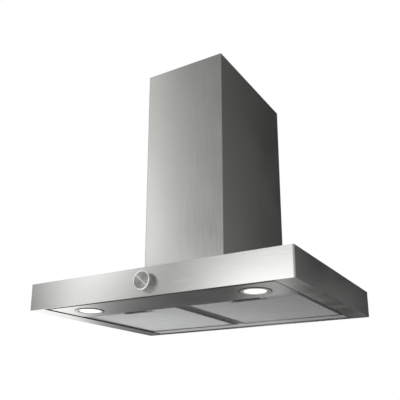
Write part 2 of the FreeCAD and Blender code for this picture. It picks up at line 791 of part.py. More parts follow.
def blower_case():
    """Sheet case that stands on the canopy and hangs on the bracket by two windows in its back."""
    body = new_body("blower_case")
    inner = "(case_half - case_sheet)"
    pad(body, "XY_Plane", "canopy_top", "case_top", plan("0 - case_half", "case_half", "0", "case_depth"))
    pocket(body, "XY_Plane", "canopy_top + case_sheet", "case_ceiling",
           plan(f"0 - {inner}", inner, "case_back", "case_depth - case_sheet"))
    pocket(body, "XY_Plane", "canopy_top - overrun", "case_top + overrun",
           plan(f"0 - {inner}", inner, "0 - overrun", "case_back_step"))
    pocket(body, "XY_Plane", "canopy_top - overrun", "canopy_top + case_sheet * 2",
           plan("0 - case_mouth_half", "case_mouth_half", "case_mouth_back", "case_mouth_front"))
    pocket(body, "XY_Plane", "canopy_top - overrun", "canopy_top + case_sheet * 2", *case_screw_holes())
    pocket(body, "XY_Plane", "case_ceiling - case_sheet", "case_top + overrun",
           circle("0", "0 - collar_depth", "collar_mouth"))
    pocket(body, "XY_Plane", "case_ceiling - case_sheet", "case_top + overrun", *collar_screw_holes())
    windows = [rectangle(f"{side} * hook_spacing / 2 - hook_width / 2 - seat_gap",
                         f"{side} * hook_spacing / 2 + hook_width / 2 + seat_gap",
                         "bracket_above - window_drop", "bracket_above + hook_sheet + seat_gap")
               for side in SIDES.values()]
    openings = windows + [circle(f"{side} * bracket_screws / 2", "0", "access_hole") for side in SIDES.values()]
    openings += [circle(f"{side} * lower_screws / 2", "canopy_top + lower_screw_rise", "lower_screw_hole")
                 for side in SIDES.values()]
    pocket(body, "XZ_Plane", "0 - overrun", "case_back + case_sheet", *openings)


def collar_screw_holes():
    """Four holes round the collar's flange."""
    holes = []
    for x, y in collar_screw_places():
        holes.append(circle(x, y, "screw_radius + screw_play"))
    return holes


def collar_screw_places():
    """Four screw places on the flange's screw circle, as formulas."""
    reach = f"collar_screw_circle * {math.cos(math.radians(COLLAR_SCREW_START)):.6f}"
    return [(f"{a} * {reach}", f"{b} * {reach} - collar_depth") for a in SIDES.values() for b in SIDES.values()]


def wall_bracket():
    """Steel strip screwed to the wall, with two hooks that the blower case hangs on."""
    body = new_body("wall_bracket")
    half = "bracket_width / 2"
    holes = [circle(f"{side} * bracket_screws / 2", "0", "bracket_hole") for side in SIDES.values()]
    pad(body, "XZ_Plane", "0", "bracket_sheet",
        rectangle(f"0 - {half}", half, "0 - bracket_below", "bracket_above"), *holes)
    tip = "(bracket_above + hook_sheet + hook_rise)"
    top = "(bracket_above + hook_sheet)"
    for side in SIDES.values():
        low = f"{side} * hook_spacing / 2 - hook_width / 2"
        pad(body, "YZ_Plane", low, f"{low} + hook_width",
            outline(("0", "bracket_above - hook_sheet"), ("0 - bracket_sheet", "bracket_above - hook_sheet"),
                    ("0 - bracket_sheet", "bracket_above"), ("0 - hook_reach", "bracket_above"),
                    ("0 - hook_reach", tip), ("hook_sheet - hook_reach", tip), ("hook_sheet - hook_reach", top),
                    ("0", top)))


def terminal_box():
    """Mains terminal box with its lid and a cable gland, on top of the blower case."""
    box = new_body("terminal_box")
    half = "terminal_width / 2"
    pad(box, "XY_Plane", "case_top", "terminal_top", plan(f"0 - {half}", half, "terminal_back", "terminal_front"))
    fillet(box, "case_corner", upright)
    lid = new_body("terminal_lid")
    edge = "panel_sheet"
    pad(lid, "XY_Plane", "terminal_top", "terminal_top + terminal_lid_thick",
        plan(f"0 - {half} - {edge}", f"{half} + {edge}", f"terminal_back - {edge}", f"terminal_front + {edge}"))
    fillet(lid, "case_corner", upright)
    gland = new_body("cable_gland")
    pad(gland, "XY_Plane", "0", "gland_nut_height", hexagon("gland_nut_width"))
    pad(gland, "XY_Plane", "gland_nut_height", "gland_height", circle("0", "0", "gland_radius"))
    pocket(gland, "XY_Plane", "0 - overrun", "gland_height + overrun", circle("0", "0", "gland_bore_radius"))
    stand(gland, depth="(terminal_back + terminal_front) / 2", height="terminal_top + terminal_lid_thick")


# Blower


def scroll_outline(grow, top):
    """Side view of the volute about the fan's axis, as a wire in the YZ plane: three quarter arcs
    whose centres step round a small square, the throat above them and the rounded tongue."""
    step, start = number("scroll_step"), number("scroll_start")
    corner = step / 2
    tongue, bend = number("cutoff_offset"), number("cutoff_radius")
    radii = [start + grow, start + step + grow, start + 2 * step + grow]
    centres = [(-corner, -corner), (corner, -corner), (corner, corner)]
    cap = (tongue - bend, start - corner + bend)
    root_half = math.sqrt(0.5)

    def at(u, w):
        return FreeCAD.Vector(0, u, w)

    def quarter(centre, radius, first):
        turns = [math.radians(first + share * QUARTER) for share in (0, 0.5, 1)]
        return Part.Arc(*[at(centre[0] + radius * math.cos(t), centre[1] + radius * math.sin(t)) for t in turns])

    small = bend - grow
    left, right = tongue - grow, corner + radii[2]
    tongue_arc = Part.Arc(at(cap[0] + small, cap[1]),
                          at(cap[0] + small * root_half, cap[1] - small * root_half),
                          at(cap[0], cap[1] - small))
    curves = [Part.LineSegment(at(left, top), at(left, cap[1])), tongue_arc,
              Part.LineSegment(at(cap[0], cap[1] - small), at(-corner, cap[1] - small))]
    curves += [quarter(centre, radius, QUARTER * (i + 1)) for i, (centre, radius) in enumerate(zip(centres, radii))]
    curves += [Part.LineSegment(at(right, corner), at(right, top)), Part.LineSegment(at(right, top), at(left, top))]
    return Part.Wire([curve.toShape() for curve in curves])


def scroll_half(name, side):
    """Half of the volute, parted at the middle of the fan, with its inlet and outlet flange."""
    wall, half, lip = number("scroll_wall"), number("scroll_half"), number("scroll_lip")
    over = number("overrun")
    top = number("case_ceiling - fan_height")
    solid = Part.Face(scroll_outline(wall, top)).extrude(FreeCAD.Vector(side * half, 0, 0))
    left, right = number("cutoff_offset"), number("throat_reach")
    flange = Part.makeBox(half + lip, right - left + 2 * (wall + lip), wall,
                          FreeCAD.Vector(0, left - wall - lip, top - wall))
    if side < 0:
        flange = flange.mirror(FreeCAD.Vector(), FreeCAD.Vector(1, 0, 0))
    hollow = Part.Face(scroll_outline(0, top + over)).extrude(FreeCAD.Vector(side * (half - wall + over), 0, 0))
    hollow.translate(FreeCAD.Vector(-side * over, 0, 0))
    inlet = Part.makeCylinder(number("inlet_radius"), 2 * half, FreeCAD.Vector(),
                              FreeCAD.Vector(side, 0, 0))
    part = solid.fuse(flange).cut(hollow).cut(inlet).removeSplitter()
    part = part.cut(collar_screw_tools())
    part = part.cut(motor_screw_tools(side)) if side > 0 else part
    feature = shaped(f"scroll_{name}", part)
    feature.Placement.Base = FreeCAD.Vector(0, -number("fan_depth"), number("fan_height"))


def collar_screw_tools():
    """Clearance holes for the collar's screws, which also hold the volute's flange."""
    radius = number("screw_radius + screw_play")
    long = number("scroll_lip")
    base = [FreeCAD.Vector(number(x), number(f"{y} + fan_depth"), number("case_ceiling - fan_height") - long)
            for x, y in collar_screw_places()]
    return Part.Compound([Part.makeCylinder(radius, long, place) for place in base])


def motor_screw_places():
    """The three screws of the motor's carrier, as (Y, Z) about the fan's axis."""
    circle_radius = number("inlet_radius + carrier_reach / 2")
    turns = [math.radians(QUARTER + WHOLE / 3 * i) for i in range(3)]
    return [(circle_radius * math.cos(turn), circle_radius * math.sin(turn)) for turn in turns]


def motor_screw_tools(side):
    """Clearance holes for those screws."""
    radius = number("screw_radius + screw_play")
    long = number("scroll_half + motor_length")
    return Part.Compound([Part.makeCylinder(radius, long, FreeCAD.Vector(0, y, z), FreeCAD.Vector(side, 0, 0))
                          for y, z in motor_screw_places()])


def blade():
    """One forward curved blade bent from sheet, between the middles of the wheel's two end rings."""
    plate, width = number("fan_plate_thick"), number("fan_width")
    outer = number("fan_radius") - plate / 2
    inner = outer - number("fan_ring_width") + plate
    radii = (inner, (inner + outer) / 2, outer)
    thick = number("blade_thick") / radii[1]
    low = -(width - plate) / 2
    front, back = ([FreeCAD.Vector(radius * math.cos(turn + more), radius * math.sin(turn + more), low)
                    for radius, turn in zip(radii, BLADE_TURNS)] for more in (0, thick))
    corners = front + back[::-1]
    return Part.Face(Part.makePolygon(corners + corners[:1])).extrude(FreeCAD.Vector(0, 0, width - plate))


def wheel_plate(radius, low):
    """A plate of the wheel, with two straight sides for each blade."""
    sides = 2 * int(number("blade_count"))
    turns = [math.radians(WHOLE / sides * i) for i in range(sides + 1)]
    rim = Part.makePolygon([FreeCAD.Vector(radius * math.cos(t), radius * math.sin(t), low) for t in turns])
    return Part.Face(rim).extrude(FreeCAD.Vector(0, 0, number("fan_plate_thick")))


def impeller():
    """Twin inlet fan wheel with forward curved blades between two end rings and a middle plate."""
    outer, width = number("fan_radius"), number("fan_width")
    eye, plate = outer - number("fan_ring_width"), number("fan_plate_thick")
    count = int(number("blade_count"))
    first = blade()
    blades = []
    for i in range(count):
        copy = first.copy()
        copy.rotate(FreeCAD.Vector(), FreeCAD.Vector(0, 0, 1), WHOLE / count * i)
        blades.append(copy)
    disc = wheel_plate(outer, -plate / 2)
    hub = Part.makeCylinder(number("fan_hub_radius"), number("motor_offset - seat_gap") + width / 4,
                            FreeCAD.Vector(0, 0, -width / 4))
    rings = [wheel_plate(outer, z).cut(wheel_plate(eye, z)) for z in (-width / 2, width / 2 - plate)]
    wheel = disc.fuse([hub] + rings + blades).removeSplitter()
    wheel = wheel.cut(Part.makeCylinder(number("spindle_radius"), width, FreeCAD.Vector(0, 0, -width / 2)))
    lay_across(shaped("impeller", wheel))

    spindle = shaped("motor_spindle", Part.makeCylinder(
        number("spindle_radius"), number("motor_offset + motor_bore_depth - seat_gap") + width / 4,
        FreeCAD.Vector(0, 0, -width / 4)))
    lay_across(spindle)


def lay_across(feature):
    """Lay a sub-part's own Z axis along the fan's axis."""
    feature.Placement = FreeCAD.Placement(
        FreeCAD.Vector(0, -number("fan_depth"), number("fan_height")),
        FreeCAD.Rotation(FreeCAD.Vector(0, 1, 0), QUARTER))


def motor():
    """Motor inside the wheel's right eye, and the three armed carrier that holds it to the volute."""
    body = new_body("motor")
    pad(body, "YZ_Plane", "motor_offset", "motor_offset + motor_length", circle("0", "0", "motor_radius"))
    pocket(body, "YZ_Plane", "motor_offset - overrun", "motor_offset + motor_bore_depth",
           circle("0", "0", "spindle_radius + running_gap"))
    carrier = new_body("motor_carrier")
    low, high = "scroll_half", "(scroll_half + motor_plate_thick)"
    pad(carrier, "YZ_Plane", low, high,
        circle("0", "0", "motor_radius + motor_ring_width"), circle("0", "0", "motor_radius + running_gap"))
    arm = pad(carrier, "YZ_Plane", low, high,
              rectangle("0 - motor_arm_width / 2", "motor_arm_width / 2", "motor_radius + motor_ring_width / 2",
                        "inlet_radius + carrier_reach"))
    spokes = carrier.newObject("PartDesign::PolarPattern", "carrier_arms")
    spokes.Originals = [arm]
    spokes.Axis = (origin_plane(carrier, "X_Axis"), [""])
    spokes.Angle = WHOLE
    spokes.Occurrences = len(motor_screw_places())
    carrier.Tip = spokes
    down = "(inlet_radius + carrier_reach / 2) / 2"
    across = f"{down} / tan(30 deg)"
    places = [("0", f"{down} * 2"), (f"0 - {across}", f"0 - {down}"), (across, f"0 - {down}")]
    holes = [circle(y, z, "screw_radius + screw_play") for y, z in places]
    pocket(carrier, "YZ_Plane", f"{low} - overrun", f"{high} + overrun", *holes)
    for part in (body, carrier):
        stand(part, depth="fan_depth", height="fan_height")


# Outlet collar and non-return flaps


def outlet_collar():
    """Round duct collar with a screwed flange, an inner ledge and the pin that the flaps turn on."""
    collar = new_body("outlet_collar")
    flange = "(collar_radius + collar_flange_width)"
    revolve(collar, [("collar_mouth", "0"), (flange, "0"), (flange, "collar_flange_thick"),
                     ("collar_radius", "collar_flange_thick"), ("collar_radius", "collar_height"),
                     ("collar_inner", "collar_height"), ("collar_inner", "collar_ledge_height"),
                     ("collar_mouth", "collar_ledge_height")])
    pocket(collar, "YZ_Plane", "0 - collar_radius - overrun", "collar_radius + overrun",
           circle("0", "flap_axis - case_top", "flap_pin_radius"))
    holes = [circle(x, f"{y} + collar_depth", "screw_radius + screw_play") for x, y in collar_screw_places()]
    pocket(collar, "XY_Plane", "0 - overrun", "collar_flange_thick + overrun", *holes)
    stand(collar, depth="collar_depth", height="case_top")
    pin = new_body("flap_pin_rod")
    pad(pin, "YZ_Plane", "0 - collar_radius", "collar_radius", circle("0", "0", "flap_pin_radius"))
    stand(pin, depth="collar_depth", height="flap_axis")


def flap(name, side):
    """Half round flap with two knuckles on the pin. Seen from the side it lies below the pin's axis."""
    sheet, knuckle = number("flap_thick"), number("flap_knuckle_radius")
    radius = number("collar_inner - flap_rim_gap")
    long, gap = number("flap_knuckle_length"), number("seat_gap")
    clear = knuckle + gap
    floor = -knuckle
    disc = Part.makeCylinder(radius, sheet, FreeCAD.Vector(0, 0, floor))
    keep = Part.makeBox(2 * radius, radius, sheet, FreeCAD.Vector(-radius, clear, floor))
    plate = disc.common(keep)
    starts = [-2 * long, 0] if side > 0 else [-long, long]
    pieces = [plate]
    for start in starts:
        low = FreeCAD.Vector(start + gap, 0, 0)
        pieces.append(Part.makeCylinder(knuckle, long - 2 * gap, low, FreeCAD.Vector(1, 0, 0)))
        pieces.append(Part.makeBox(long - 2 * gap, clear + sheet, sheet, FreeCAD.Vector(start + gap, 0, floor)))
    bore = Part.makeCylinder(number("flap_pin_radius + running_gap"), 4 * radius,
                             FreeCAD.Vector(-2 * radius, 0, 0), FreeCAD.Vector(1, 0, 0))
    solid = pieces[0].fuse(pieces[1:]).cut(bore).removeSplitter()
    if side > 0:
        solid = solid.mirror(FreeCAD.Vector(), FreeCAD.Vector(0, 1, 0))
    feature = shaped(f"damper_flap_{name}", solid)
    feature.Placement.Base = FreeCAD.Vector(0, -number("collar_depth"), number("flap_axis"))


# Chimney covers


def chimney_lower():
    """Lower cover: three sided, with returns against the wall and a flange that stands on the canopy."""
    body = new_body("chimney_lower")
    inner = "chimney_inner_half"
    mouth = "(chimney_inner_half - chimney_flange)"
    pad(body, "XY_Plane", "canopy_top", "chimney_top",
        plan("0 - chimney_half", "chimney_half", "0", "chimney_depth"))
    fillet(body, "chimney_corner", lambda edge: upright(edge) and edge.BoundBox.YMax < -number("chimney_sheet"))
    pocket(body, "XY_Plane", "canopy_top + chimney_sheet", "chimney_top + overrun",
           plan(f"0 - {inner}", inner, "chimney_sheet", "chimney_inner_front"))
    pocket(body, "XY_Plane", "canopy_top - overrun", "canopy_top + chimney_sheet * 2",
           plan(f"0 - {mouth}", mouth, "0 - overrun", "chimney_inner_front - chimney_flange"))
    back = "(chimney_inner_half - chimney_return)"
    pocket(body, "XY_Plane", "canopy_top - overrun", "chimney_top + overrun",
           plan(f"0 - {back}", back, "0 - overrun", "chimney_sheet * 2"))
    pocket(body, "XY_Plane", "canopy_top - overrun", "canopy_top + chimney_sheet * 2", *chimney_screw_holes())


def chimney_upper():
    """Upper cover that slides inside the lower one, with louvre slots near its top on both sides."""
    body = new_body("chimney_upper")
    inner = "upper_inner_half"
    pad(body, "XY_Plane", "upper_low", "upper_top", plan("0 - upper_half", "upper_half", "upper_back", "upper_front"))
    pocket(body, "XY_Plane", "upper_low - overrun", "upper_top + overrun",
           plan(f"0 - {inner}", inner, "upper_back + upper_sheet", "upper_front - upper_sheet"))
    back = "(upper_inner_half - upper_return)"
    pocket(body, "XY_Plane", "upper_low - overrun", "upper_top + overrun",
           plan(f"0 - {back}", back, "upper_back - overrun", "upper_back + upper_sheet * 2"))
    middle = "(0 - chimney_depth / 2)"
    low = "upper_top - vent_drop - vent_height"
    slot = pocket(body, "YZ_Plane", "0 - upper_half - overrun", "upper_half + overrun",
                  rectangle(f"{middle} - vent_length / 2", f"{middle} + vent_length / 2", low,
                            "upper_top - vent_drop"))
    rows = body.newObject("PartDesign::LinearPattern", "vent_rows")
    rows.Originals = [slot]
    rows.Direction = (origin_plane(body, "Z_Axis"), [""])
    rows.Reversed = True
    bind(rows, "Length", "vent_pitch * (vent_rows - 1)")
    bind(rows, "Occurrences", "vent_rows")
    body.Tip = rows


def top_bracket():
    """Wall bracket inside the top of the upper cover: a foot on the wall and a wing to each side."""
    body = new_body("chimney_bracket")
    sheet = "top_bracket_sheet"
    foot, wing = "top_bracket_foot", "top_bracket_half"
    back, reach = "top_bracket_back", "(top_bracket_back + top_bracket_wing)"
    corners = []
    for side in (1, -1):
        run = [(f"{side} * ({foot} + {sheet})", "0"), (f"{side} * ({foot} + {sheet})", back),
               (f"{side} * {wing}", back), (f"{side} * {wing}", reach), (f"{side} * ({wing} - {sheet})", reach),
               (f"{side} * ({wing} - {sheet})", f"({back} + {sheet})"), (f"{side} * {foot}", f"({back} + {sheet})"),
               (f"{side} * {foot}", sheet)]
        corners += run if side > 0 else run[::-1]
    pad(body, "XY_Plane", "top_bracket_low", "top_bracket_high",
        outline(*[(x, f"0 - {depth}") for x, depth in corners]))
    holes = [circle(f"{side} * top_bracket_screws / 2", "top_bracket_middle", "top_bracket_hole")
             for side in SIDES.values()]
    pocket(body, "XZ_Plane", "0 - overrun", f"{sheet} * 2", *holes)


# Screws, as groups of separate solids


def screw(seat, pointing, length):
    """A hexagon head screw, its head's underside at the seat and its shank drawn as a plain six sided bar."""
    head = bar(seat, -pointing, number("screw_head_width / 2 / cos(30 deg)"), number("screw_head_height"))
    return head.fuse(bar(seat, pointing, number("screw_radius"), length)).removeSplitter()


def bar(start, direction, corner, length):
    """A six sided bar from a place along a direction, of a radius out to its corners."""
    turn = FreeCAD.Rotation(FreeCAD.Vector(0, 0, 1), direction)
    angles = [math.radians(WHOLE / 6 * i) for i in range(6)]
    points = [start + turn.multVec(FreeCAD.Vector(corner * math.cos(a), corner * math.sin(a), 0)) for a in angles]
    return Part.Face(Part.makePolygon(points + points[:1])).extrude(direction * length)


def screws():
    """The groups of like screws."""
    down, up, left = FreeCAD.Vector(0, 0, -1), FreeCAD.Vector(0, 0, 1), FreeCAD.Vector(-1, 0, 0)
    tail = number("screw_tail")
    top = number("canopy_top + case_sheet")
    case = [screw(FreeCAD.Vector(number(x), -number(depth), top), down, number("case_sheet + canopy_sheet") + tail)
            for x, depth in case_screw_places()]
    shaped("case_screws", Part.Compound(case))
    seat = number("case_top + collar_flange_thick")
    collar = [screw(FreeCAD.Vector(number(x), number(y), seat), down,
                    number("collar_flange_thick + case_sheet") + tail) for x, y in collar_screw_places()]
    shaped("collar_screws", Part.Compound(collar))
    ceiling = number("canopy_ceiling")
    chimney = [screw(FreeCAD.Vector(number(x), -number(depth), ceiling), up,
                     number("canopy_sheet + chimney_sheet") + tail) for x, depth in chimney_screw_places()]
    shaped("chimney_screws", Part.Compound(chimney))
    face = number("scroll_half + motor_plate_thick")
    centre = FreeCAD.Vector(face, -number("fan_depth"), number("fan_height"))
    long = number("motor_plate_thick + scroll_wall") + tail / 2
    carrier = [screw(centre + FreeCAD.Vector(0, y, z), left, long) for y, z in motor_screw_places()]
    shaped("carrier_screws", Part.Compound(carrier))


def build():
    """Make every sub-part."""
    make_sheets()
    canopy_shell()
    light_panel()
    rear_rail()
    filter_divider()
    for name, side in SIDES.items():
        side_rail(name, side)
        lamp(name, side)
        grease_filter(name, side)
        scroll_half(name, side)
    control()
    electronics()
    blower_case()
    wall_bracket()
    terminal_box()
    impeller()
    motor()
    outlet_collar()
    flap("front", 1)
    flap("rear", -1)
    chimney_lower()
    chimney_upper()
    top_bracket()
    screws()
    DOC.recompute()


def check():
    """Stop with a plain message where a feature failed or a sub-part has no sound shape."""
    failed = [thing.Name for thing in DOC.Objects if {"Invalid", "Error"} & set(thing.State)]
    if failed:
        raise RuntimeError(f"these objects failed: {failed}")
    for before, feature in CUTS:
        if not feature.Shape.Volume < before.Shape.Volume:
            raise RuntimeError(f"{feature.Name} cuts nothing")
    for part in PARTS:
        if part.Shape.isNull() or not part.Shape.isValid() or not part.Shape.Solids:
            raise RuntimeError(f"{part.Label} has no sound shape")


def export():
    """Write one file for each sub-part."""
    os.makedirs("parts", exist_ok=True)
    for part in PARTS:
        part.Shape.exportStep(f"parts/{part.Label}.step")


build()
check()
export()
print(f"{len(PARTS)} sub-parts written")
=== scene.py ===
"""Looks of a wall mount range hood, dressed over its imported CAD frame.

Metres. +Z is up, the wall is the plane Y = 0 and the hood's front faces -Y.
"""

import logging
import math
from dataclasses import dataclass
from enum import Enum

import bmesh
import bpy
from bpy.types import Material, Mesh, Node, NodeSocket, NodeTree, Object
from mathutils import Matrix, Vector


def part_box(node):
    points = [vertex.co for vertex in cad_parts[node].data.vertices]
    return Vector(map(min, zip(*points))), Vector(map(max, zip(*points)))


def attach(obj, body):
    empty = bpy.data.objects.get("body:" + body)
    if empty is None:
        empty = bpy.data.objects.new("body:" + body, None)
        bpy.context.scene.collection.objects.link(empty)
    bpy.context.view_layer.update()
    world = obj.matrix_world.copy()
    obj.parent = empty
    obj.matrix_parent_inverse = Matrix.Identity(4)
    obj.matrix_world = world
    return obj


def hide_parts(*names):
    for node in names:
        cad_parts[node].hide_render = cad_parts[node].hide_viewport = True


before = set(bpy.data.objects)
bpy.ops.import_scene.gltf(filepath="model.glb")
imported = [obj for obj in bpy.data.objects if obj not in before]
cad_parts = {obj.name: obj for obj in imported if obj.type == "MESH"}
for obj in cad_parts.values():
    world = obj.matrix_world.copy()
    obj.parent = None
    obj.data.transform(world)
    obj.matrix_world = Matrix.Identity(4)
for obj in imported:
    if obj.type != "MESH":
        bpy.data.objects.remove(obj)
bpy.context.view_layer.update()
LOG = logging.getLogger("range_hood")
MM = 0.001
SIDES = {"left": -1, "right": 1}


# Small tools


def colour(hex_code: str) -> tuple[float, float, float, float]:
    """Turn an sRGB hex colour into linear values with full alpha."""
    parts = [int(hex_code[i:i + 2], 16) / 255 for i in (1, 3, 5)]
    return (*[p / 12.92 if p <= 0.04045 else ((p + 0.055) / 1.055) ** 2.4 for p in parts], 1.0)


def add_node(tree: NodeTree, kind: str, inputs: dict | None = None, **settings) -> Node:
    """Add a node with its settings and links.

    Args:
        tree: the material's, world's or geometry tree.
        kind: the node's type.
        inputs: a value or an output socket for each named or numbered input.
        settings: the node's own properties.

    Returns:
        The new node.
    """
    node = tree.nodes.new(kind)
    for name, value in settings.items():
        setattr(node, name, value)
    for key, value in (inputs or {}).items():
        if isinstance(value, NodeSocket):
            tree.links.new(value, node.inputs[key])
        else:
            node.inputs[key].default_value = value
    return node


def shown(name: str, mesh: Mesh) -> Object:
    """Link a mesh into the scene as an object at the origin.

    Args:
        name: the object's name.
        mesh: its mesh, with its place in it.

    Returns:
        The object.
    """
    piece = bpy.data.objects.new(name, mesh)
    bpy.context.scene.collection.objects.link(piece)
    return piece


def along(axis: str) -> Matrix:
    """The turn that lays a piece's own Z axis along X or against Y, or leaves it."""
    turns = {"X": Matrix.Rotation(math.pi / 2, 4, "Y"), "-X": Matrix.Rotation(-math.pi / 2, 4, "Y"),
             "-Y": Matrix.Rotation(math.pi / 2, 4, "X"), "Z": Matrix.Identity(4),
             "-Z": Matrix.Rotation(math.pi, 4, "X")}
    return turns[axis]


def lathe(name: str, outline: list[tuple[float, float]], steps: int, place: Vector, axis: str = "Z",
          closed: bool = True) -> Object:
    """Turn an outline of (radius, height) points about an axis.

    Args:
        name: the piece's name.
        outline: the points, in order round the section.
        steps: how many faces go round.
        place: where the outline's own origin stands.
        axis: the direction of the outline's height.
        closed: whether the outline is a ring; otherwise it starts and ends on the axis.

    Returns:
        The piece, with its place in its mesh.
    """
    shape = bmesh.new()
    rings = []
    for step in range(steps):
        turn = 2 * math.pi * step / steps
        rings.append([shape.verts.new((r * math.cos(turn), r * math.sin(turn), z)) for r, z in outline])
    count = len(outline)
    for step in range(steps):
        here, there = rings[step], rings[(step + 1) % steps]
        for i in range(count if closed else count - 1):
            j = (i + 1) % count
            shape.faces.new((here[i], there[i], there[j], here[j]))
    bmesh.ops.remove_doubles(shape, verts=shape.verts, dist=1e-7)
    bmesh.ops.dissolve_degenerate(shape, edges=shape.edges, dist=1e-7)
    bmesh.ops.recalc_face_normals(shape, faces=shape.faces)
    mesh = bpy.data.meshes.new(name)
    shape.to_mesh(mesh)
    shape.free()
    mesh.transform(Matrix.Translation(place) @ along(axis))
    mesh.shade_smooth()
    piece = shown(name, mesh)
    creases(piece)
    return piece


def creases(piece: Object, angle: float = 35.0) -> None:
    """Keep the edges sharper than an angle, in degrees, hard in the shading."""
    piece.data.set_sharp_from_angle(angle=math.radians(angle))


def dress(piece: Object, material: Material, body: str, slot: str, *nodes: str) -> None:
    """Give a new piece its finish and its body, and hide the CAD nodes that it stands for.

    Args:
        piece: the piece.
        material: its finish.
        body: the body that it moves with.
        slot: the name of its material slot, not used.
        nodes: the CAD nodes that it stands for, none for an added detail.
    """
    piece.data.materials.clear()
    piece.data.materials.append(material)
    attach(piece, body)
    if nodes:
        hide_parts(*nodes)
    LOG.info("piece %s on %s, for %s", piece.name, body, nodes or "detail")


def repaint(material: Material, *nodes: str) -> None:
    """Give CAD nodes a finish.

    Args:
        material: the finish.
        nodes: the nodes' names.
    """
    for name in nodes:
        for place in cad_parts[name].material_slots:
            place.material = material
        LOG.info("node %s in %s", name, material.name)


def islands(node: str) -> list[tuple[Vector, Vector]]:
    """Find the separate solids in a CAD node.

    Args:
        node: the node's name.

    Returns:
        The lowest and highest corner of each, from left to right.
    """
    shape = bmesh.new()
    shape.from_mesh(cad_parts[node].data)
    bmesh.ops.remove_doubles(shape, verts=shape.verts, dist=1e-6)
    left = set(shape.verts)
    boxes = []
    while left:
        todo, found = [left.pop()], []
        while todo:
            vertex = todo.pop()
            found.append(vertex.co.copy())
            for edge in vertex.link_edges:
                other = edge.other_vert(vertex)
                if other in left:
                    left.discard(other)
                    todo.append(other)
        boxes.append((Vector(map(min, *found)), Vector(map(max, *found))))
    shape.free()
    return sorted(boxes, key=lambda box: tuple(box[0]))


# Finishes


def bare(name: str) -> tuple[Material, NodeTree]:
    """Start a material whose node tree is empty.

    Args:
        name: the finish's name.

    Returns:
        The material and its tree.
    """
    material = bpy.data.materials.new(name)
    material.use_nodes = True
    material.node_tree.nodes.clear()
    return material, material.node_tree


class Grain(Enum):
    """Which way a brushed sheet's lines run: the pattern's long axes, and the direction across the lines."""

    LEVEL = ((1, 1, 0), (0.0, 0.05, 1.0))
    UPRIGHT = ((0, 0, 1), (1.0, 0.05, 0.0))
    FLAT = ((1, 0, 0), (0.0, 1.0, 0.05))


@dataclass(frozen=True)
class BrushedSteel:
    """Ferritic stainless sheet, belt brushed: soft reflections that stretch across fine pale lines."""

    name: str
    grain: Grain
    body: str = "#CDCDCB"
    shade: str = "#BDBDBB"
    roughness: float = 0.2
    pull: float = 0.75
    line_length: float = 55 * MM
    # Real brush lines are about 0.1 mm wide. They are drawn wider so that they show.
    line_width: float = 1.1 * MM
    smudge: float = 140 * MM

    def material(self) -> Material:
        """Build the finish.

        Returns:
            The material.
        """
        material, tree = bare(self.name)
        long_axes, across = self.grain.value
        scale = tuple(1 / (self.line_length if axis else self.line_width) for axis in long_axes)
        place = add_node(tree, "ShaderNodeTexCoord")
        mapped = add_node(tree, "ShaderNodeMapping", {"Vector": place.outputs["Object"], "Scale": scale})
        lines = add_node(tree, "ShaderNodeTexNoise",
                         {"Vector": mapped.outputs[0], "Scale": 1.0, "Detail": 3.0, "Roughness": 0.65})
        cloud = add_node(tree, "ShaderNodeTexNoise",
                         {"Vector": place.outputs["Object"], "Scale": 1 / self.smudge, "Detail": 2.0})
        tone = add_node(tree, "ShaderNodeMix", {"Factor": lines.outputs["Fac"], "A": colour(self.shade),
                                                "B": colour(self.body)}, data_type="RGBA")
        both = add_node(tree, "ShaderNodeMath", {0: lines.outputs["Fac"], 1: cloud.outputs["Fac"]},
                        operation="ADD")
        rough = add_node(tree, "ShaderNodeMapRange",
                         {"Value": both.outputs[0], "From Min": 0.7, "From Max": 1.3,
                          "To Min": self.roughness - 0.03, "To Max": self.roughness + 0.04})
        relief = add_node(tree, "ShaderNodeBump",
                          {"Strength": 0.10, "Distance": 0.05 * MM, "Height": lines.outputs["Fac"]})
        tangent = add_node(tree, "ShaderNodeCombineXYZ", {0: across[0], 1: across[1], 2: across[2]})
        shader = add_node(tree, "ShaderNodeBsdfPrincipled",
                          {"Base Color": tone.outputs["Result"], "Metallic": 1.0,
                           "Roughness": rough.outputs[0], "Anisotropic": self.pull,
                           "Normal": relief.outputs[0], "Tangent": tangent.outputs[0]})
        add_node(tree, "ShaderNodeOutputMaterial", {"Surface": shader.outputs[0]})
        return material


@dataclass(frozen=True)
class GalvanisedSheet:
    """Hot dip galvanised steel: dull grey with pale and dark crystals a few millimetres wide."""

    name: str
    body: str = "#C6C8C8"
    shade: str = "#B2B5B6"
    crystal: float = 6 * MM
    roughness: float = 0.46
    metal: float = 0.65

    def material(self) -> Material:
        """Build the finish.

        Returns:
            The material.
        """
        material, tree = bare(self.name)
        place = add_node(tree, "ShaderNodeTexCoord")
        cells = add_node(tree, "ShaderNodeTexVoronoi",
                         {"Vector": place.outputs["Object"], "Scale": 1 / self.crystal, "Randomness": 1.0})
        level = add_node(tree, "ShaderNodeSeparateColor", {0: cells.outputs["Color"]})
        tone = add_node(tree, "ShaderNodeMix", {"Factor": level.outputs[0], "A": colour(self.shade),
                                                "B": colour(self.body)}, data_type="RGBA")
        rough = add_node(tree, "ShaderNodeMapRange",
                         {"Value": level.outputs[1], "To Min": self.roughness - 0.08,
                          "To Max": self.roughness + 0.1})
        shader = add_node(tree, "ShaderNodeBsdfPrincipled",
                          {"Base Color": tone.outputs["Result"], "Metallic": self.metal,
                           "Roughness": rough.outputs[0]})
        add_node(tree, "ShaderNodeOutputMaterial", {"Surface": shader.outputs[0]})
        return material


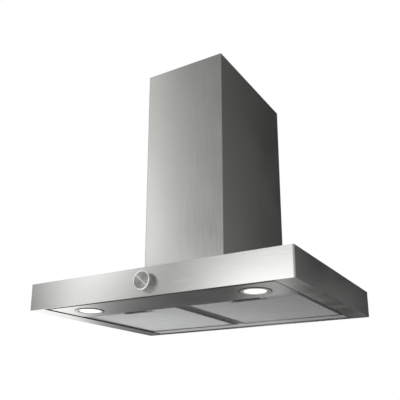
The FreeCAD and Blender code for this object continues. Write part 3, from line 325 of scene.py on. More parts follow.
@dataclass(frozen=True)
class SoftMetal:
    """Rolled, drawn, cast or plated metal: an even sheen broken by fine grit and faint clouds."""

    name: str
    body: str
    shade: str
    roughness: float
    grit: float = 0.8 * MM
    relief: float = 0.02 * MM
    # Below 1 for a dull oxide or lacquer that scatters part of the light
    metal: float = 1.0

    def material(self) -> Material:
        """Build the finish.

        Returns:
            The material.
        """
        material, tree = bare(self.name)
        place = add_node(tree, "ShaderNodeTexCoord")
        grit = add_node(tree, "ShaderNodeTexNoise",
                        {"Vector": place.outputs["Object"], "Scale": 1 / self.grit, "Detail": 2.0})
        cloud = add_node(tree, "ShaderNodeTexNoise",
                         {"Vector": place.outputs["Object"], "Scale": 1 / (40 * self.grit), "Detail": 3.0})
        tone = add_node(tree, "ShaderNodeMix", {"Factor": cloud.outputs["Fac"], "A": colour(self.shade),
                                                "B": colour(self.body)}, data_type="RGBA")
        rough = add_node(tree, "ShaderNodeMapRange",
                         {"Value": grit.outputs["Fac"], "From Min": 0.3, "From Max": 0.7,
                          "To Min": max(0.03, self.roughness - 0.05), "To Max": self.roughness + 0.06})
        bump = add_node(tree, "ShaderNodeBump",
                        {"Strength": 0.25, "Distance": self.relief, "Height": grit.outputs["Fac"]})
        shader = add_node(tree, "ShaderNodeBsdfPrincipled",
                          {"Base Color": tone.outputs["Result"], "Metallic": self.metal,
                           "Roughness": rough.outputs[0], "Normal": bump.outputs[0]})
        add_node(tree, "ShaderNodeOutputMaterial", {"Surface": shader.outputs[0]})
        return material


@dataclass(frozen=True)
class TurnedMetal:
    """Metal faced on a lathe: rings less than a millimetre apart, whose sheen fans out from the centre."""

    name: str
    centre: Vector
    body: str = "#9C9C9A"
    shade: str = "#838382"
    # Real tool marks are about 0.1 mm apart. They are drawn wider so that they show.
    ring: float = 0.5 * MM
    roughness: float = 0.33
    pull: float = 0.6

    def material(self) -> Material:
        """Build the finish.

        Returns:
            The material.
        """
        material, tree = bare(self.name)
        place = add_node(tree, "ShaderNodeTexCoord")
        centred = add_node(tree, "ShaderNodeMapping", {"Vector": place.outputs["Object"],
                                                       "Location": tuple(-self.centre)})
        radial = add_node(tree, "ShaderNodeVectorMath", {0: centred.outputs[0], 1: (1.0, 0.0, 1.0)},
                          operation="MULTIPLY")
        reach = add_node(tree, "ShaderNodeVectorMath", {0: radial.outputs[0]}, operation="LENGTH")
        phase = add_node(tree, "ShaderNodeMath", {0: reach.outputs["Value"], 1: 2 * math.pi / self.ring},
                         operation="MULTIPLY")
        wave = add_node(tree, "ShaderNodeMath", {0: phase.outputs[0]}, operation="SINE")
        level = add_node(tree, "ShaderNodeMapRange",
                         {"Value": wave.outputs[0], "From Min": -1.0, "From Max": 1.0})
        tone = add_node(tree, "ShaderNodeMix", {"Factor": level.outputs[0], "A": colour(self.shade),
                                                "B": colour(self.body)}, data_type="RGBA")
        bump = add_node(tree, "ShaderNodeBump", {"Strength": 0.2, "Distance": 0.03 * MM,
                                                 "Height": level.outputs[0]})
        shader = add_node(tree, "ShaderNodeBsdfPrincipled",
                          {"Base Color": tone.outputs["Result"], "Metallic": 1.0, "Roughness": self.roughness,
                           "Anisotropic": self.pull, "Normal": bump.outputs[0], "Tangent": radial.outputs[0]})
        add_node(tree, "ShaderNodeOutputMaterial", {"Surface": shader.outputs[0]})
        return material


@dataclass(frozen=True)
class MouldedPlastic:
    """Moulded plastic, rubber or foam, or baked paint: a fine matt texture with faint clouds."""

    name: str
    body: str
    shade: str
    roughness: float = 0.5
    texture: float = 0.7 * MM
    relief: float = 0.05 * MM

    def material(self) -> Material:
        """Build the finish.

        Returns:
            The material.
        """
        material, tree = bare(self.name)
        place = add_node(tree, "ShaderNodeTexCoord")
        grit = add_node(tree, "ShaderNodeTexNoise",
                        {"Vector": place.outputs["Object"], "Scale": 1 / self.texture, "Detail": 3.0})
        cloud = add_node(tree, "ShaderNodeTexNoise",
                         {"Vector": place.outputs["Object"], "Scale": 1 / (60 * self.texture), "Detail": 2.0})
        tone = add_node(tree, "ShaderNodeMix", {"Factor": cloud.outputs["Fac"], "A": colour(self.shade),
                                                "B": colour(self.body)}, data_type="RGBA")
        rough = add_node(tree, "ShaderNodeMapRange",
                         {"Value": grit.outputs["Fac"], "From Min": 0.3, "From Max": 0.7,
                          "To Min": self.roughness - 0.06, "To Max": self.roughness + 0.08})
        bump = add_node(tree, "ShaderNodeBump",
                        {"Strength": 0.4, "Distance": self.relief, "Height": grit.outputs["Fac"]})
        shader = add_node(tree, "ShaderNodeBsdfPrincipled",
                          {"Base Color": tone.outputs["Result"], "Roughness": rough.outputs[0],
                           "Normal": bump.outputs[0]})
        add_node(tree, "ShaderNodeOutputMaterial", {"Surface": shader.outputs[0]})
        return material


@dataclass(frozen=True)
class FrostedLens:
    """Satin glass over a lit lamp: glows evenly and falls off a little towards its rim."""

    name: str
    centre: Vector
    radius: float
    body: str = "#F4F3EE"
    glow: str = "#FFFDF6"
    rim_glow: str = "#8E8D88"
    strength: float = 1.15
    facet: float = 2.2 * MM

    def material(self) -> Material:
        """Build the finish.

        Returns:
            The material.
        """
        material, tree = bare(self.name)
        place = add_node(tree, "ShaderNodeTexCoord")
        centred = add_node(tree, "ShaderNodeMapping", {"Vector": place.outputs["Object"],
                                                       "Location": tuple(-self.centre)})
        level = add_node(tree, "ShaderNodeVectorMath", {0: centred.outputs[0], 1: (1.0, 1.0, 0.0)},
                         operation="MULTIPLY")
        reach = add_node(tree, "ShaderNodeVectorMath", {0: level.outputs[0]}, operation="LENGTH")
        fall = add_node(tree, "ShaderNodeMapRange", {"Value": reach.outputs["Value"],
                                                     "From Min": self.radius * 0.75, "From Max": self.radius})
        facets = add_node(tree, "ShaderNodeTexVoronoi",
                          {"Vector": centred.outputs[0], "Scale": 1 / self.facet}, feature="DISTANCE_TO_EDGE")
        tone = add_node(tree, "ShaderNodeMix", {"Factor": fall.outputs[0], "A": colour(self.glow),
                                                "B": colour(self.rim_glow)}, data_type="RGBA")
        bump = add_node(tree, "ShaderNodeBump", {"Strength": 0.3, "Distance": 0.2 * MM,
                                                 "Height": facets.outputs[0]})
        shader = add_node(tree, "ShaderNodeBsdfPrincipled",
                          {"Base Color": colour(self.body), "Roughness": 0.45, "Normal": bump.outputs[0],
                           "Emission Color": tone.outputs["Result"], "Emission Strength": self.strength})
        add_node(tree, "ShaderNodeOutputMaterial", {"Surface": shader.outputs[0]})
        return material


# Geometry Nodes


@dataclass
class Growth:
    """A Geometry Nodes tree with named inputs, run once and turned into a plain mesh."""

    name: str

    def __post_init__(self) -> None:
        """Start the tree with its geometry input and output."""
        self.tree = bpy.data.node_groups.new(self.name, "GeometryNodeTree")
        self.tree.interface.new_socket("Geometry", in_out="INPUT", socket_type="NodeSocketGeometry")
        self.tree.interface.new_socket("Geometry", in_out="OUTPUT", socket_type="NodeSocketGeometry")
        self.given = self.tree.nodes.new("NodeGroupInput")
        self.values: dict[str, object] = {}

    def size(self, name: str, value: object, kind: str = "NodeSocketFloat") -> NodeSocket:
        """Add a named input and keep its value.

        Args:
            name: the input's name, used once in a tree.
            value: what the modifier sets it to.
            kind: the socket's type.

        Returns:
            The socket inside the tree.
        """
        made = self.tree.interface.new_socket(name, in_out="INPUT", socket_type=kind)
        self.values[made.identifier] = value
        return self.given.outputs[name]

    def node(self, kind: str, inputs: dict | None = None, **settings) -> Node:
        """Add a node to the tree."""
        return add_node(self.tree, kind, inputs, **settings)

    def grow(self, made: NodeSocket, material: Material, place: Matrix,
             host: Mesh | None = None) -> Object:
        """Realize what the tree made, give it its material and put it in its place.

        Args:
            made: the geometry to keep.
            material: the finish.
            place: where the tree's own origin goes.
            host: a mesh of points for the tree to read.

        Returns:
            A plain mesh object at the origin, with its place in its mesh.
        """
        finish = self.size("Finish", material, "NodeSocketMaterial")
        whole = self.node("GeometryNodeRealizeInstances", {0: made})
        painted = self.node("GeometryNodeSetMaterial", {"Geometry": whole.outputs[0], "Material": finish})
        end = self.tree.nodes.new("NodeGroupOutput")
        self.tree.links.new(painted.outputs[0], end.inputs[0])
        holder = shown(self.name + "_host", host or bpy.data.meshes.new(self.name + "_host"))
        modifier = holder.modifiers.new("growth", "NODES")
        modifier.node_group = self.tree
        for identifier, value in self.values.items():
            modifier[identifier] = value
        graph = bpy.context.evaluated_depsgraph_get()
        mesh = bpy.data.meshes.new_from_object(holder.evaluated_get(graph), depsgraph=graph)
        mesh.name = self.name
        holder.modifiers.remove(modifier)
        bpy.data.objects.remove(holder)
        mesh.transform(place)
        return shown(self.name, mesh)


def expanded_sheet(name: str, low: Vector, high: Vector, gap: tuple[Vector, Vector],
                   material: Material, cell: tuple[float, float], strand: float) -> Object:
    """A level sheet of expanded metal: diamonds that meet at their corners, with a gap left for a pull.

    Args:
        name: the piece's name.
        low, high: the sheet's corners.
        gap: the corners of the space that holds no diamonds.
        material: the finish.
        cell: a diamond's length and width.
        strand: the width of a strand.

    Returns:
        The sheet.
    """
    growth = Growth(name)
    centre = (low + high) / 2
    across, deep = high.x - low.x, high.y - low.y
    columns, rows = round(across / cell[0]), round(deep / cell[1])
    step_x, step_y = across / columns, deep / rows
    grid = growth.node("GeometryNodeMeshGrid", {
        "Size X": growth.size("Points across", across - step_x),
        "Size Y": growth.size("Points deep", deep - step_y),
        "Vertices X": growth.size("Columns", columns, "NodeSocketInt"),
        "Vertices Y": growth.size("Rows", rows, "NodeSocketInt")})
    ring = growth.node("GeometryNodeCurvePrimitiveCircle", {"Resolution": 4, "Radius": 1.0}, mode="RADIUS")
    shape = growth.node("ShaderNodeCombineXYZ", {0: growth.size("Half cell length", step_x / 2),
                                                 1: growth.size("Half cell width", step_y / 2), 2: 1.0})
    cell_shape = growth.node("GeometryNodeTransform", {"Geometry": ring.outputs[0],
                                                       "Scale": shape.outputs[0]})
    section = growth.node("GeometryNodeCurvePrimitiveQuadrilateral",
                          {"Width": growth.size("Sheet thickness", (high.z - low.z) * 0.9),
                           "Height": growth.size("Strand width", strand)}, mode="RECTANGLE")
    diamond = growth.node("GeometryNodeCurveToMesh", {"Curve": cell_shape.outputs[0],
                                                      "Profile Curve": section.outputs[0]})
    where = growth.node("GeometryNodeInputPosition")
    apart = growth.node("ShaderNodeSeparateXYZ", {0: where.outputs[0]})
    tests = [("Gap start", "X", gap[0].x - centre.x, "GREATER_THAN"),
             ("Gap end", "X", gap[1].x - centre.x, "LESS_THAN"),
             ("Gap back", "Y", gap[1].y - centre.y, "LESS_THAN")]
    inside = None
    for label, axis, value, way in tests:
        test = growth.node("FunctionNodeCompare", {"A": apart.outputs[axis], "B": growth.size(label, value)},
                           data_type="FLOAT", operation=way)
        inside = test.outputs[0] if inside is None else growth.node(
            "FunctionNodeBooleanMath", {0: inside, 1: test.outputs[0]}, operation="AND").outputs[0]
    keep = growth.node("FunctionNodeBooleanMath", {0: inside}, operation="NOT")
    spread = growth.node("GeometryNodeInstanceOnPoints", {
        "Points": grid.outputs[0], "Selection": keep.outputs[0], "Instance": diamond.outputs[0]})
    return growth.grow(spread.outputs[0], material, Matrix.Translation(centre))


def ribbed_can(name: str, radius: float, height: float, ribs: int, rib: tuple[float, float],
               material: Material, place: Matrix) -> Object:
    """A round can with upright ribs round it.

    Args:
        name: the piece's name.
        radius: out to the ribs' outer faces.
        height: along the can's own Z axis, from its origin.
        ribs: how many.
        rib: a rib's thickness and how far it stands off the can.
        material: the finish.
        place: where the can's foot goes.

    Returns:
        The can.
    """
    growth = Growth(name)
    tall = growth.size("Height", height)
    core = radius - rib[1]
    drum = growth.node("GeometryNodeMeshCylinder", {
        "Vertices": 64, "Radius": growth.size("Core radius", core), "Depth": tall})
    places = growth.node("GeometryNodeMeshCircle", {
        "Vertices": growth.size("Ribs", ribs, "NodeSocketInt"),
        "Radius": growth.size("Rib circle", core + rib[1] / 2 - 0.2 * MM)})
    bulk = growth.node("ShaderNodeCombineXYZ", {0: growth.size("Rib reach", rib[1] + 0.4 * MM),
                                                1: growth.size("Rib thickness", rib[0]),
                                                2: growth.size("Rib height", height * 0.86)})
    bar = growth.node("GeometryNodeMeshCube", {"Size": bulk.outputs[0]})
    where = growth.node("GeometryNodeInputPosition")
    turn = growth.node("FunctionNodeAlignRotationToVector", {"Vector": where.outputs[0]}, axis="X")
    ring = growth.node("GeometryNodeInstanceOnPoints", {
        "Points": places.outputs[0], "Instance": bar.outputs[0], "Rotation": turn.outputs[0]})
    both = growth.node("GeometryNodeJoinGeometry")
    growth.tree.links.new(drum.outputs[0], both.inputs[0])
    growth.tree.links.new(ring.outputs[0], both.inputs[0])
    piece = growth.grow(both.outputs[0], material, place @ Matrix.Translation((0, 0, height / 2)))
    creases(piece)
    return piece


# Sub-assemblies


@dataclass
class Canopy:
    """The folded canopy and the sheets of its underside."""

    steel: BrushedSteel = BrushedSteel("brushed_stainless_canopy", Grain.LEVEL)
    under: BrushedSteel = BrushedSteel("brushed_stainless_underside", Grain.FLAT, roughness=0.17, pull=0.6)
    rear: SoftMetal = SoftMetal("etched_aluminium_rail", "#E0E1E1", "#D0D1D1", 0.36, metal=0.45)
    # Painted shade: the side rails are black so that the gaps beside the filters read as shadow.
    rails_painted_shade: MouldedPlastic = MouldedPlastic("black_rail_painted_shade", "#1C1C1D", "#141415", 0.4,
                                           texture=1.2 * MM)
    # Painted shade: black strips laid in the underside's gaps along the front, the wall, the panel's ends and
    # beside the filters, where there is only shadow.
    strip_painted_shade: MouldedPlastic = MouldedPlastic("black_strip_painted_shade", "#151515", "#0D0D0D", 0.8,
                                          texture=1.5 * MM)
    # How far the canopy's bottom flange covers the light panel's ends
    flange_cover: float = 8.0 * MM
    flange_gap: float = 0.1 * MM
    shade_strip_width: float = 7.0 * MM
    end_shade_strip_width: float = 2.6 * MM
    side_shade_strip_gap: float = 0.5 * MM
    wall_shade_strip_depth: float = 14.0 * MM
    shade_strip_thick: float = 0.9 * MM

    def build(self) -> None:
        """Repaint the sheets and lay black strips of painted shade along the underside's gaps."""
        repaint(self.steel.material(), "canopy_shell")
        repaint(self.under.material(), "light_panel", "filter_divider")
        repaint(self.rear.material(), "rear_rail")
        repaint(self.rails_painted_shade.material(), "side_rail_left", "side_rail_right")
        strip_painted_shade = self.strip_painted_shade.material()
        low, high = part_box("light_panel")
        rail_low, rail_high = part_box("rear_rail")
        level, front = low.z - self.shade_strip_thick / 2, low.y + self.shade_strip_width / 2
        flange = high.x - self.flange_cover
        end = flange - self.end_shade_strip_width / 2
        self.strip("front_panel_shade_strip", Vector((0, front, level)), (2 * end, self.shade_strip_width), strip_painted_shade)
        self.strip("wall_shade_strip", Vector((0, rail_high.y - self.wall_shade_strip_depth / 2, level)),
                   (rail_high.x - rail_low.x, self.wall_shade_strip_depth), strip_painted_shade)
        for name, side in SIDES.items():
            middle = (front + self.shade_strip_width / 2 + high.y) / 2
            self.strip(f"end_shade_strip_{name}", Vector((side * end, middle, level)),
                       (self.end_shade_strip_width, high.y - front - self.shade_strip_width / 2), strip_painted_shade)
            frame_low, frame_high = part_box(f"filter_frame_{name}")
            near = max(abs(frame_low.x), abs(frame_high.x)) + self.side_shade_strip_gap
            far = flange - self.flange_gap
            middle = (high.y + rail_high.y) / 2
            self.strip(f"side_shade_strip_{name}", Vector((side * (near + far) / 2, middle, level)),
                       (far - near, rail_high.y - high.y), strip_painted_shade)

    def strip(self, name: str, centre: Vector, size: tuple[float, float], material: Material) -> None:
        """A flat black strip with rounded long edges under the canopy's sheets, painted shade for a shadowed
        gap.

        Args:
            name: the piece's name.
            centre: its middle.
            size: how far it reaches along X and Y.
            material: the finish.
        """
        shape = bmesh.new()
        bmesh.ops.create_cube(shape, size=1.0)
        bmesh.ops.scale(shape, vec=(size[0], size[1], self.shade_strip_thick), verts=shape.verts)
        bmesh.ops.bevel(shape, geom=shape.edges[:], offset=self.shade_strip_thick * 0.3, segments=2, profile=0.5,
                        affect="EDGES")
        bmesh.ops.translate(shape, vec=centre, verts=shape.verts)
        mesh = bpy.data.meshes.new(name)
        shape.to_mesh(mesh)
        shape.free()
        dress(shown(name, mesh), material, "hood", "latch_plastic")


@dataclass
class Chimney:
    """The two telescopic covers and the bracket in the upper one."""

    # Its body and shade are darker than the canopy's steel of the same sheet: painted shade for the chimney's
    # dimmer look.
    steel: BrushedSteel = BrushedSteel("brushed_stainless_chimney", Grain.UPRIGHT, body="#C2C3BF",
                                       shade="#B6B7B3", pull=0.55)
    zinc: GalvanisedSheet = GalvanisedSheet("galvanised_brackets")

    def dress(self) -> None:
        """Repaint the covers and the brackets."""
        repaint(self.steel.material(), "chimney_lower", "chimney_upper")
        repaint(self.zinc.material(), "chimney_bracket", "wall_bracket")


@dataclass
class GreaseFilters:
    """Two aluminium cassettes: frame, pleated core, expanded sheet, pull and latch."""

    cell: tuple[float, float] = (8.0 * MM, 4.6 * MM)
    strand: float = 0.9 * MM
    edge: float = 5.5 * MM
    aluminium: SoftMetal = SoftMetal("etched_aluminium_sheet", "#DEDFDF", "#CBCCCC", 0.4, metal=0.3)
    core: SoftMetal = SoftMetal("pleated_aluminium_foil", "#CECFCF", "#B0B1B1", 0.5, grit=1.5 * MM, metal=0.5)
    border: SoftMetal = SoftMetal("rolled_aluminium_border", "#BFC0C0", "#ABACAC", 0.24)
    cup: SoftMetal = SoftMetal("pressed_aluminium_cup", "#D9DADA", "#C8C9C9", 0.38, metal=0.5)
    # The latch's dark grey is partly its own plastic and partly painted shade for the shadowed slot in its
    # cup.
    pull: MouldedPlastic = MouldedPlastic("grey_pull_and_painted_shade", "#4A4B4C", "#3E3F40", 0.42)

    def build(self) -> None:
        """Make the expanded sheets."""
        sheet, edging = self.aluminium.material(), self.border.material()
        foil, plastic, pressed = self.core.material(), self.pull.material(), self.cup.material()
        for side in SIDES:
            low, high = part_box(f"filter_mesh_{side}")
            cup_low, cup_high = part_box(f"latch_cup_{side}")
            inset = Vector((self.edge, self.edge, 0))
            margin = Vector((self.cell[0] / 2 + 1 * MM, self.cell[1] / 2 + 1 * MM, 0))
            piece = expanded_sheet(f"expanded_sheet_{side}", low + inset, high - inset,
                                   (cup_low - margin, cup_high + margin), sheet, self.cell, self.strand)
            dress(piece, sheet, f"filter_{side}", "filter_aluminium", f"filter_mesh_{side}")
            repaint(edging, f"filter_frame_{side}")
            repaint(foil, f"filter_core_{side}")
            repaint(pressed, f"latch_cup_{side}")
            repaint(plastic, f"filter_latch_{side}")


@dataclass
class Lamps:
    """Two recessed lamps, each a pressed ring, a lit lens and a ribbed housing."""

    ring_metal: SoftMetal = SoftMetal("nickel_plated_ring", "#D6D6D4", "#C4C4C2", 0.22, grit=0.5 * MM)
    # Painted shade: a black rim round each bright ring, for the dark arc at its edge.
    rim_painted_shade: MouldedPlastic = MouldedPlastic("black_rim_painted_shade", "#161616", "#0E0E0E", 0.7)
    housing_metal: SoftMetal = SoftMetal("die_cast_aluminium", "#A8AAAC", "#97999B", 0.5)
    ribs: int = 28
    rib: tuple[float, float] = (1.2 * MM, 3.5 * MM)
    mouth_share: float = 0.71
    dome_share: float = 0.69
    bulge: float = 0.5 * MM

    def build(self) -> None:
        """Make the rings, lenses and housings in the boxes of the CAD nodes."""
        bright, cast = self.ring_metal.material(), self.housing_metal.material()
        black = self.rim_painted_shade.material()
        for side in SIDES:
            low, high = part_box(f"lamp_bezel_{side}")
            lens_low, lens_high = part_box(f"lamp_lens_{side}")
            can_low, can_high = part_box(f"lamp_can_{side}")
            centre = Vector(((low.x + high.x) / 2, (low.y + high.y) / 2, high.z))
            outer, deep = (high.x - low.x) / 2, high.z - low.z
            self.ring(side, centre, outer, deep, bright)
            self.rim_shade(side, centre, outer, deep, black)
            self.lens(side, Vector((centre.x, centre.y, lens_low.z)), (lens_high.x - lens_low.x) / 2,
                      lens_high.z - lens_low.z, outer)
            can = ribbed_can(f"lamp_housing_{side}", (can_high.x - can_low.x) / 2, can_high.z - can_low.z,
                             self.ribs, self.rib, cast, Matrix.Translation((centre.x, centre.y, can_low.z)))
            dress(can, cast, "hood", "can_aluminium", f"lamp_can_{side}")

    def ring(self, side: str, centre: Vector, outer: float, deep: float, material: Material) -> None:
        """Turn a ring with a rolled outer lip and a bevel down to the lens.

        Args:
            side: left or right.
            centre: the middle of its seat on the panel.
            outer: its radius.
            deep: how far it stands off the panel.
            material: the finish.
        """
        mouth, face = outer * self.mouth_share, outer - 1.2 * MM
        outline = [(face, -deep * 0.05), (face, -deep * 0.8), (face - 0.8 * MM, -deep),
                   (mouth + 3.2 * MM, -deep), (mouth + 2.4 * MM, -deep * 0.8), (mouth, -deep * 0.12),
                   (mouth, -deep * 0.05)]
        piece = lathe(f"lamp_ring_{side}", outline, 72, centre)
        dress(piece, material, "hood", "lamp_metal", f"lamp_bezel_{side}")

    def rim_shade(self, side: str, centre: Vector, outer: float, deep: float, material: Material) -> None:
        """Turn a black ring between the bright ring and the panel, as wide as the whole bezel, painted shade
        for the dark arc round the ring.

        Args:
            side: left or right.
            centre: the middle of its seat on the panel.
            outer: its radius.
            deep: the bright ring's depth, which it stays inside.
            material: the finish.
        """
        inner = outer - 1.1 * MM
        outline = [(outer - 0.1 * MM, 0), (outer, -deep * 0.2), (outer, -deep * 0.7),
                   (outer - 0.2 * MM, -deep * 0.85), (inner, -deep * 0.85), (inner, 0)]
        piece = lathe(f"lamp_rim_shade_{side}", outline, 72, centre)
        dress(piece, material, "hood", "latch_plastic")

    def lens(self, side: str, centre: Vector, radius: float, thick: float, outer: float) -> None:
        """Turn a lens with a flat rim and a shallow dome that faces down, and light it.

        Args:
            side: left or right.
            centre: the middle of its lower face.
            radius: out to its rim.
            thick: its height without the dome.
            outer: the bezel's radius, which the dome follows.
        """
        dome = outer * self.dome_share
        steps = 6
        curve = [(dome * (1 - i / steps), -self.bulge * math.sin(math.pi / 2 * i / steps))
                 for i in range(steps + 1)]
        outline = [(0, thick), (radius, thick), (radius, 0)] + curve
        material = FrostedLens(f"frosted_glass_{side}", centre, dome).material()
        piece = lathe(f"lamp_glass_{side}", outline, 64, centre, closed=False)
        dress(piece, material, "hood", "lens_glass", f"lamp_lens_{side}")


@dataclass
class Control:
    """The rotary knob with its bright rim and pointer, and the switch behind it."""

    lean: float = -43.0
    pointer: tuple[float, float] = (1.5 * MM, 0.4 * MM)
    cap_thick: float = 3.4 * MM
    neck_share: float = 0.6
    mouth_share: float = 0.54
    bore: float = 3.1 * MM
    mouth_deep: float = 2.4 * MM
    roof: float = 2.0 * MM
    chrome: SoftMetal = SoftMetal("satin_chrome", "#F6F6F5", "#ECECEB", 0.2, grit=0.5 * MM, metal=0.5)
    satin: SoftMetal = SoftMetal("blasted_aluminium_knob", "#F4F5F4", "#EAEBEA", 0.5, metal=0.2)
    # The pointer bar is modelled, and its white is partly a painted highlight for the bright streak across
    # the turned face.
    pointer_white_highlight: MouldedPlastic = MouldedPlastic("white_pointer_painted_highlight", "#FAFAF8", "#F2F2F0", 0.4)
    zinc: SoftMetal = SoftMetal("zinc_plated_steel", "#B9BABA", "#A0A1A1", 0.32)
    white: MouldedPlastic = MouldedPlastic("polycarbonate_white", "#DAD9D4", "#CECDC8", 0.48)

    def build(self) -> None:
        """Make the cap, the rim and the pointer of the knob, and repaint the rest."""
        low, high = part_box("knob_ring")
        face_low, face_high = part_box("knob_face")
        centre = Vector(((low.x + high.x) / 2, high.y, (low.z + high.z) / 2))
        outer, deep = (high.x - low.x) / 2, high.y - low.y
        inner = (face_high.x - face_low.x) / 2
        outline = [(outer, 0), (outer, deep * 0.5), (outer - 0.25 * MM, deep * 0.85),
                   (outer - 0.7 * MM, deep), (inner + 0.5 * MM, deep), (inner + 0.1 * MM, deep * 0.8),
                   (inner, deep * 0.4), (inner, 0)]
        rim = lathe("knob_rim", outline, 96, centre, "-Y")
        dress(rim, self.chrome.material(), "knob", "knob_chrome", "knob_ring")
        repaint(TurnedMetal("turned_aluminium_knob", centre).material(), "knob_face")
        self.cap(centre, self.satin.material())
        self.line(centre + Vector((0, -deep, 0)), inner, self.pointer_white_highlight.material())
        repaint(self.zinc.material(), "knob_shaft", "switch_nut")
        repaint(self.white.material(), "rotary_switch", "control_box", "lamp_driver", "terminal_box",
                "terminal_lid", "cable_gland")

    def cap(self, face: Vector, material: Material) -> None:
        """Turn the knob's body: a thin cap on a narrower neck, hollow over the switch's nut.

        Args:
            face: the middle of the knob's face.
            material: the finish.
        """
        low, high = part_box("control_knob")
        outer, deep = (high.x - low.x) / 2, high.y - low.y
        neck, mouth, under = outer * self.neck_share, outer * self.mouth_share, deep - self.cap_thick
        outline = [(0, deep), (outer, deep), (outer, under + 0.5 * MM), (outer - 0.5 * MM, under),
                   (neck + 0.8 * MM, under - 0.6 * MM), (neck, under - 1.4 * MM), (neck, 0), (mouth, 0),
                   (mouth, self.mouth_deep), (self.bore, self.mouth_deep), (self.bore, deep - self.roof),
                   (0, deep - self.roof)]
        piece = lathe("knob_cap", outline, 96, Vector((face.x, high.y, face.z)), "-Y", closed=False)
        dress(piece, material, "knob", "knob_metal", "control_knob")

    def line(self, centre: Vector, reach: float, material: Material) -> None:
        """Lay a half round white bar across the knob's face, a pointer whose white is partly a painted
        highlight.

        Args:
            centre: the middle of the rim's front.
            reach: half of the bar's length.
            material: the finish.
        """
        width, height = self.pointer
        steps = 6
        arch = [(width / 2 * math.cos(math.pi * i / steps), height * math.sin(math.pi * i / steps))
                for i in range(steps + 1)]
        shape = bmesh.new()
        ends = [[shape.verts.new((x, y, z)) for y, z in arch] for x in (-reach, reach)]
        for i in range(steps):
            shape.faces.new((ends[0][i], ends[1][i], ends[1][i + 1], ends[0][i + 1]))
        shape.faces.new(ends[0])
        shape.faces.new(ends[1][::-1])
        shape.faces.new((ends[0][0], ends[0][-1], ends[1][-1], ends[1][0]))
        bmesh.ops.recalc_face_normals(shape, faces=shape.faces)
        mesh = bpy.data.meshes.new("pointer_line")
        shape.to_mesh(mesh)
        shape.free()
        mesh.transform(Matrix.Translation(centre + Vector((0, 0.5 * MM, 0))) @ along("-Y")
                       @ Matrix.Rotation(math.radians(self.lean), 4, "Z"))
        piece = shown("pointer_line", mesh)
        dress(piece, material, "knob", "knob_chrome")


@dataclass
class Blower:
    """Case, volute, wheel, motor, collar and flaps."""

    zinc: GalvanisedSheet = GalvanisedSheet("galvanised_case")
    black: MouldedPlastic = MouldedPlastic("polypropylene_black", "#26272A", "#1D1E20", 0.46)
    grey: MouldedPlastic = MouldedPlastic("polypropylene_grey", "#55585B", "#4A4D50", 0.5)
    paint: MouldedPlastic = MouldedPlastic("baked_black_paint", "#2B2C2E", "#222324", 0.38, texture=1.2 * MM)
    rod: SoftMetal = SoftMetal("drawn_steel_rod", "#B4B5B5", "#9C9D9D", 0.25)
    ribs: int = 36
    rib: tuple[float, float] = (1.6 * MM, 2.0 * MM)

    def build(self) -> None:
        """Make the ribbed motor and repaint the rest."""
        repaint(self.zinc.material(), "blower_case", "motor_carrier")
        repaint(self.black.material(), "scroll_left", "scroll_right", "outlet_collar")
        repaint(self.grey.material(), "impeller", "damper_flap_front", "damper_flap_rear")
        repaint(self.rod.material(), "motor_spindle", "flap_pin_rod")
        low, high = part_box("motor")
        centre = Vector((low.x, (low.y + high.y) / 2, (low.z + high.z) / 2))
        paint = self.paint.material()
        motor = ribbed_can("motor_housing", (high.z - low.z) / 2, high.x - low.x, self.ribs, self.rib, paint,
                           Matrix.Translation(centre) @ along("X"))
        dress(motor, paint, "hood", "motor_paint", "motor")


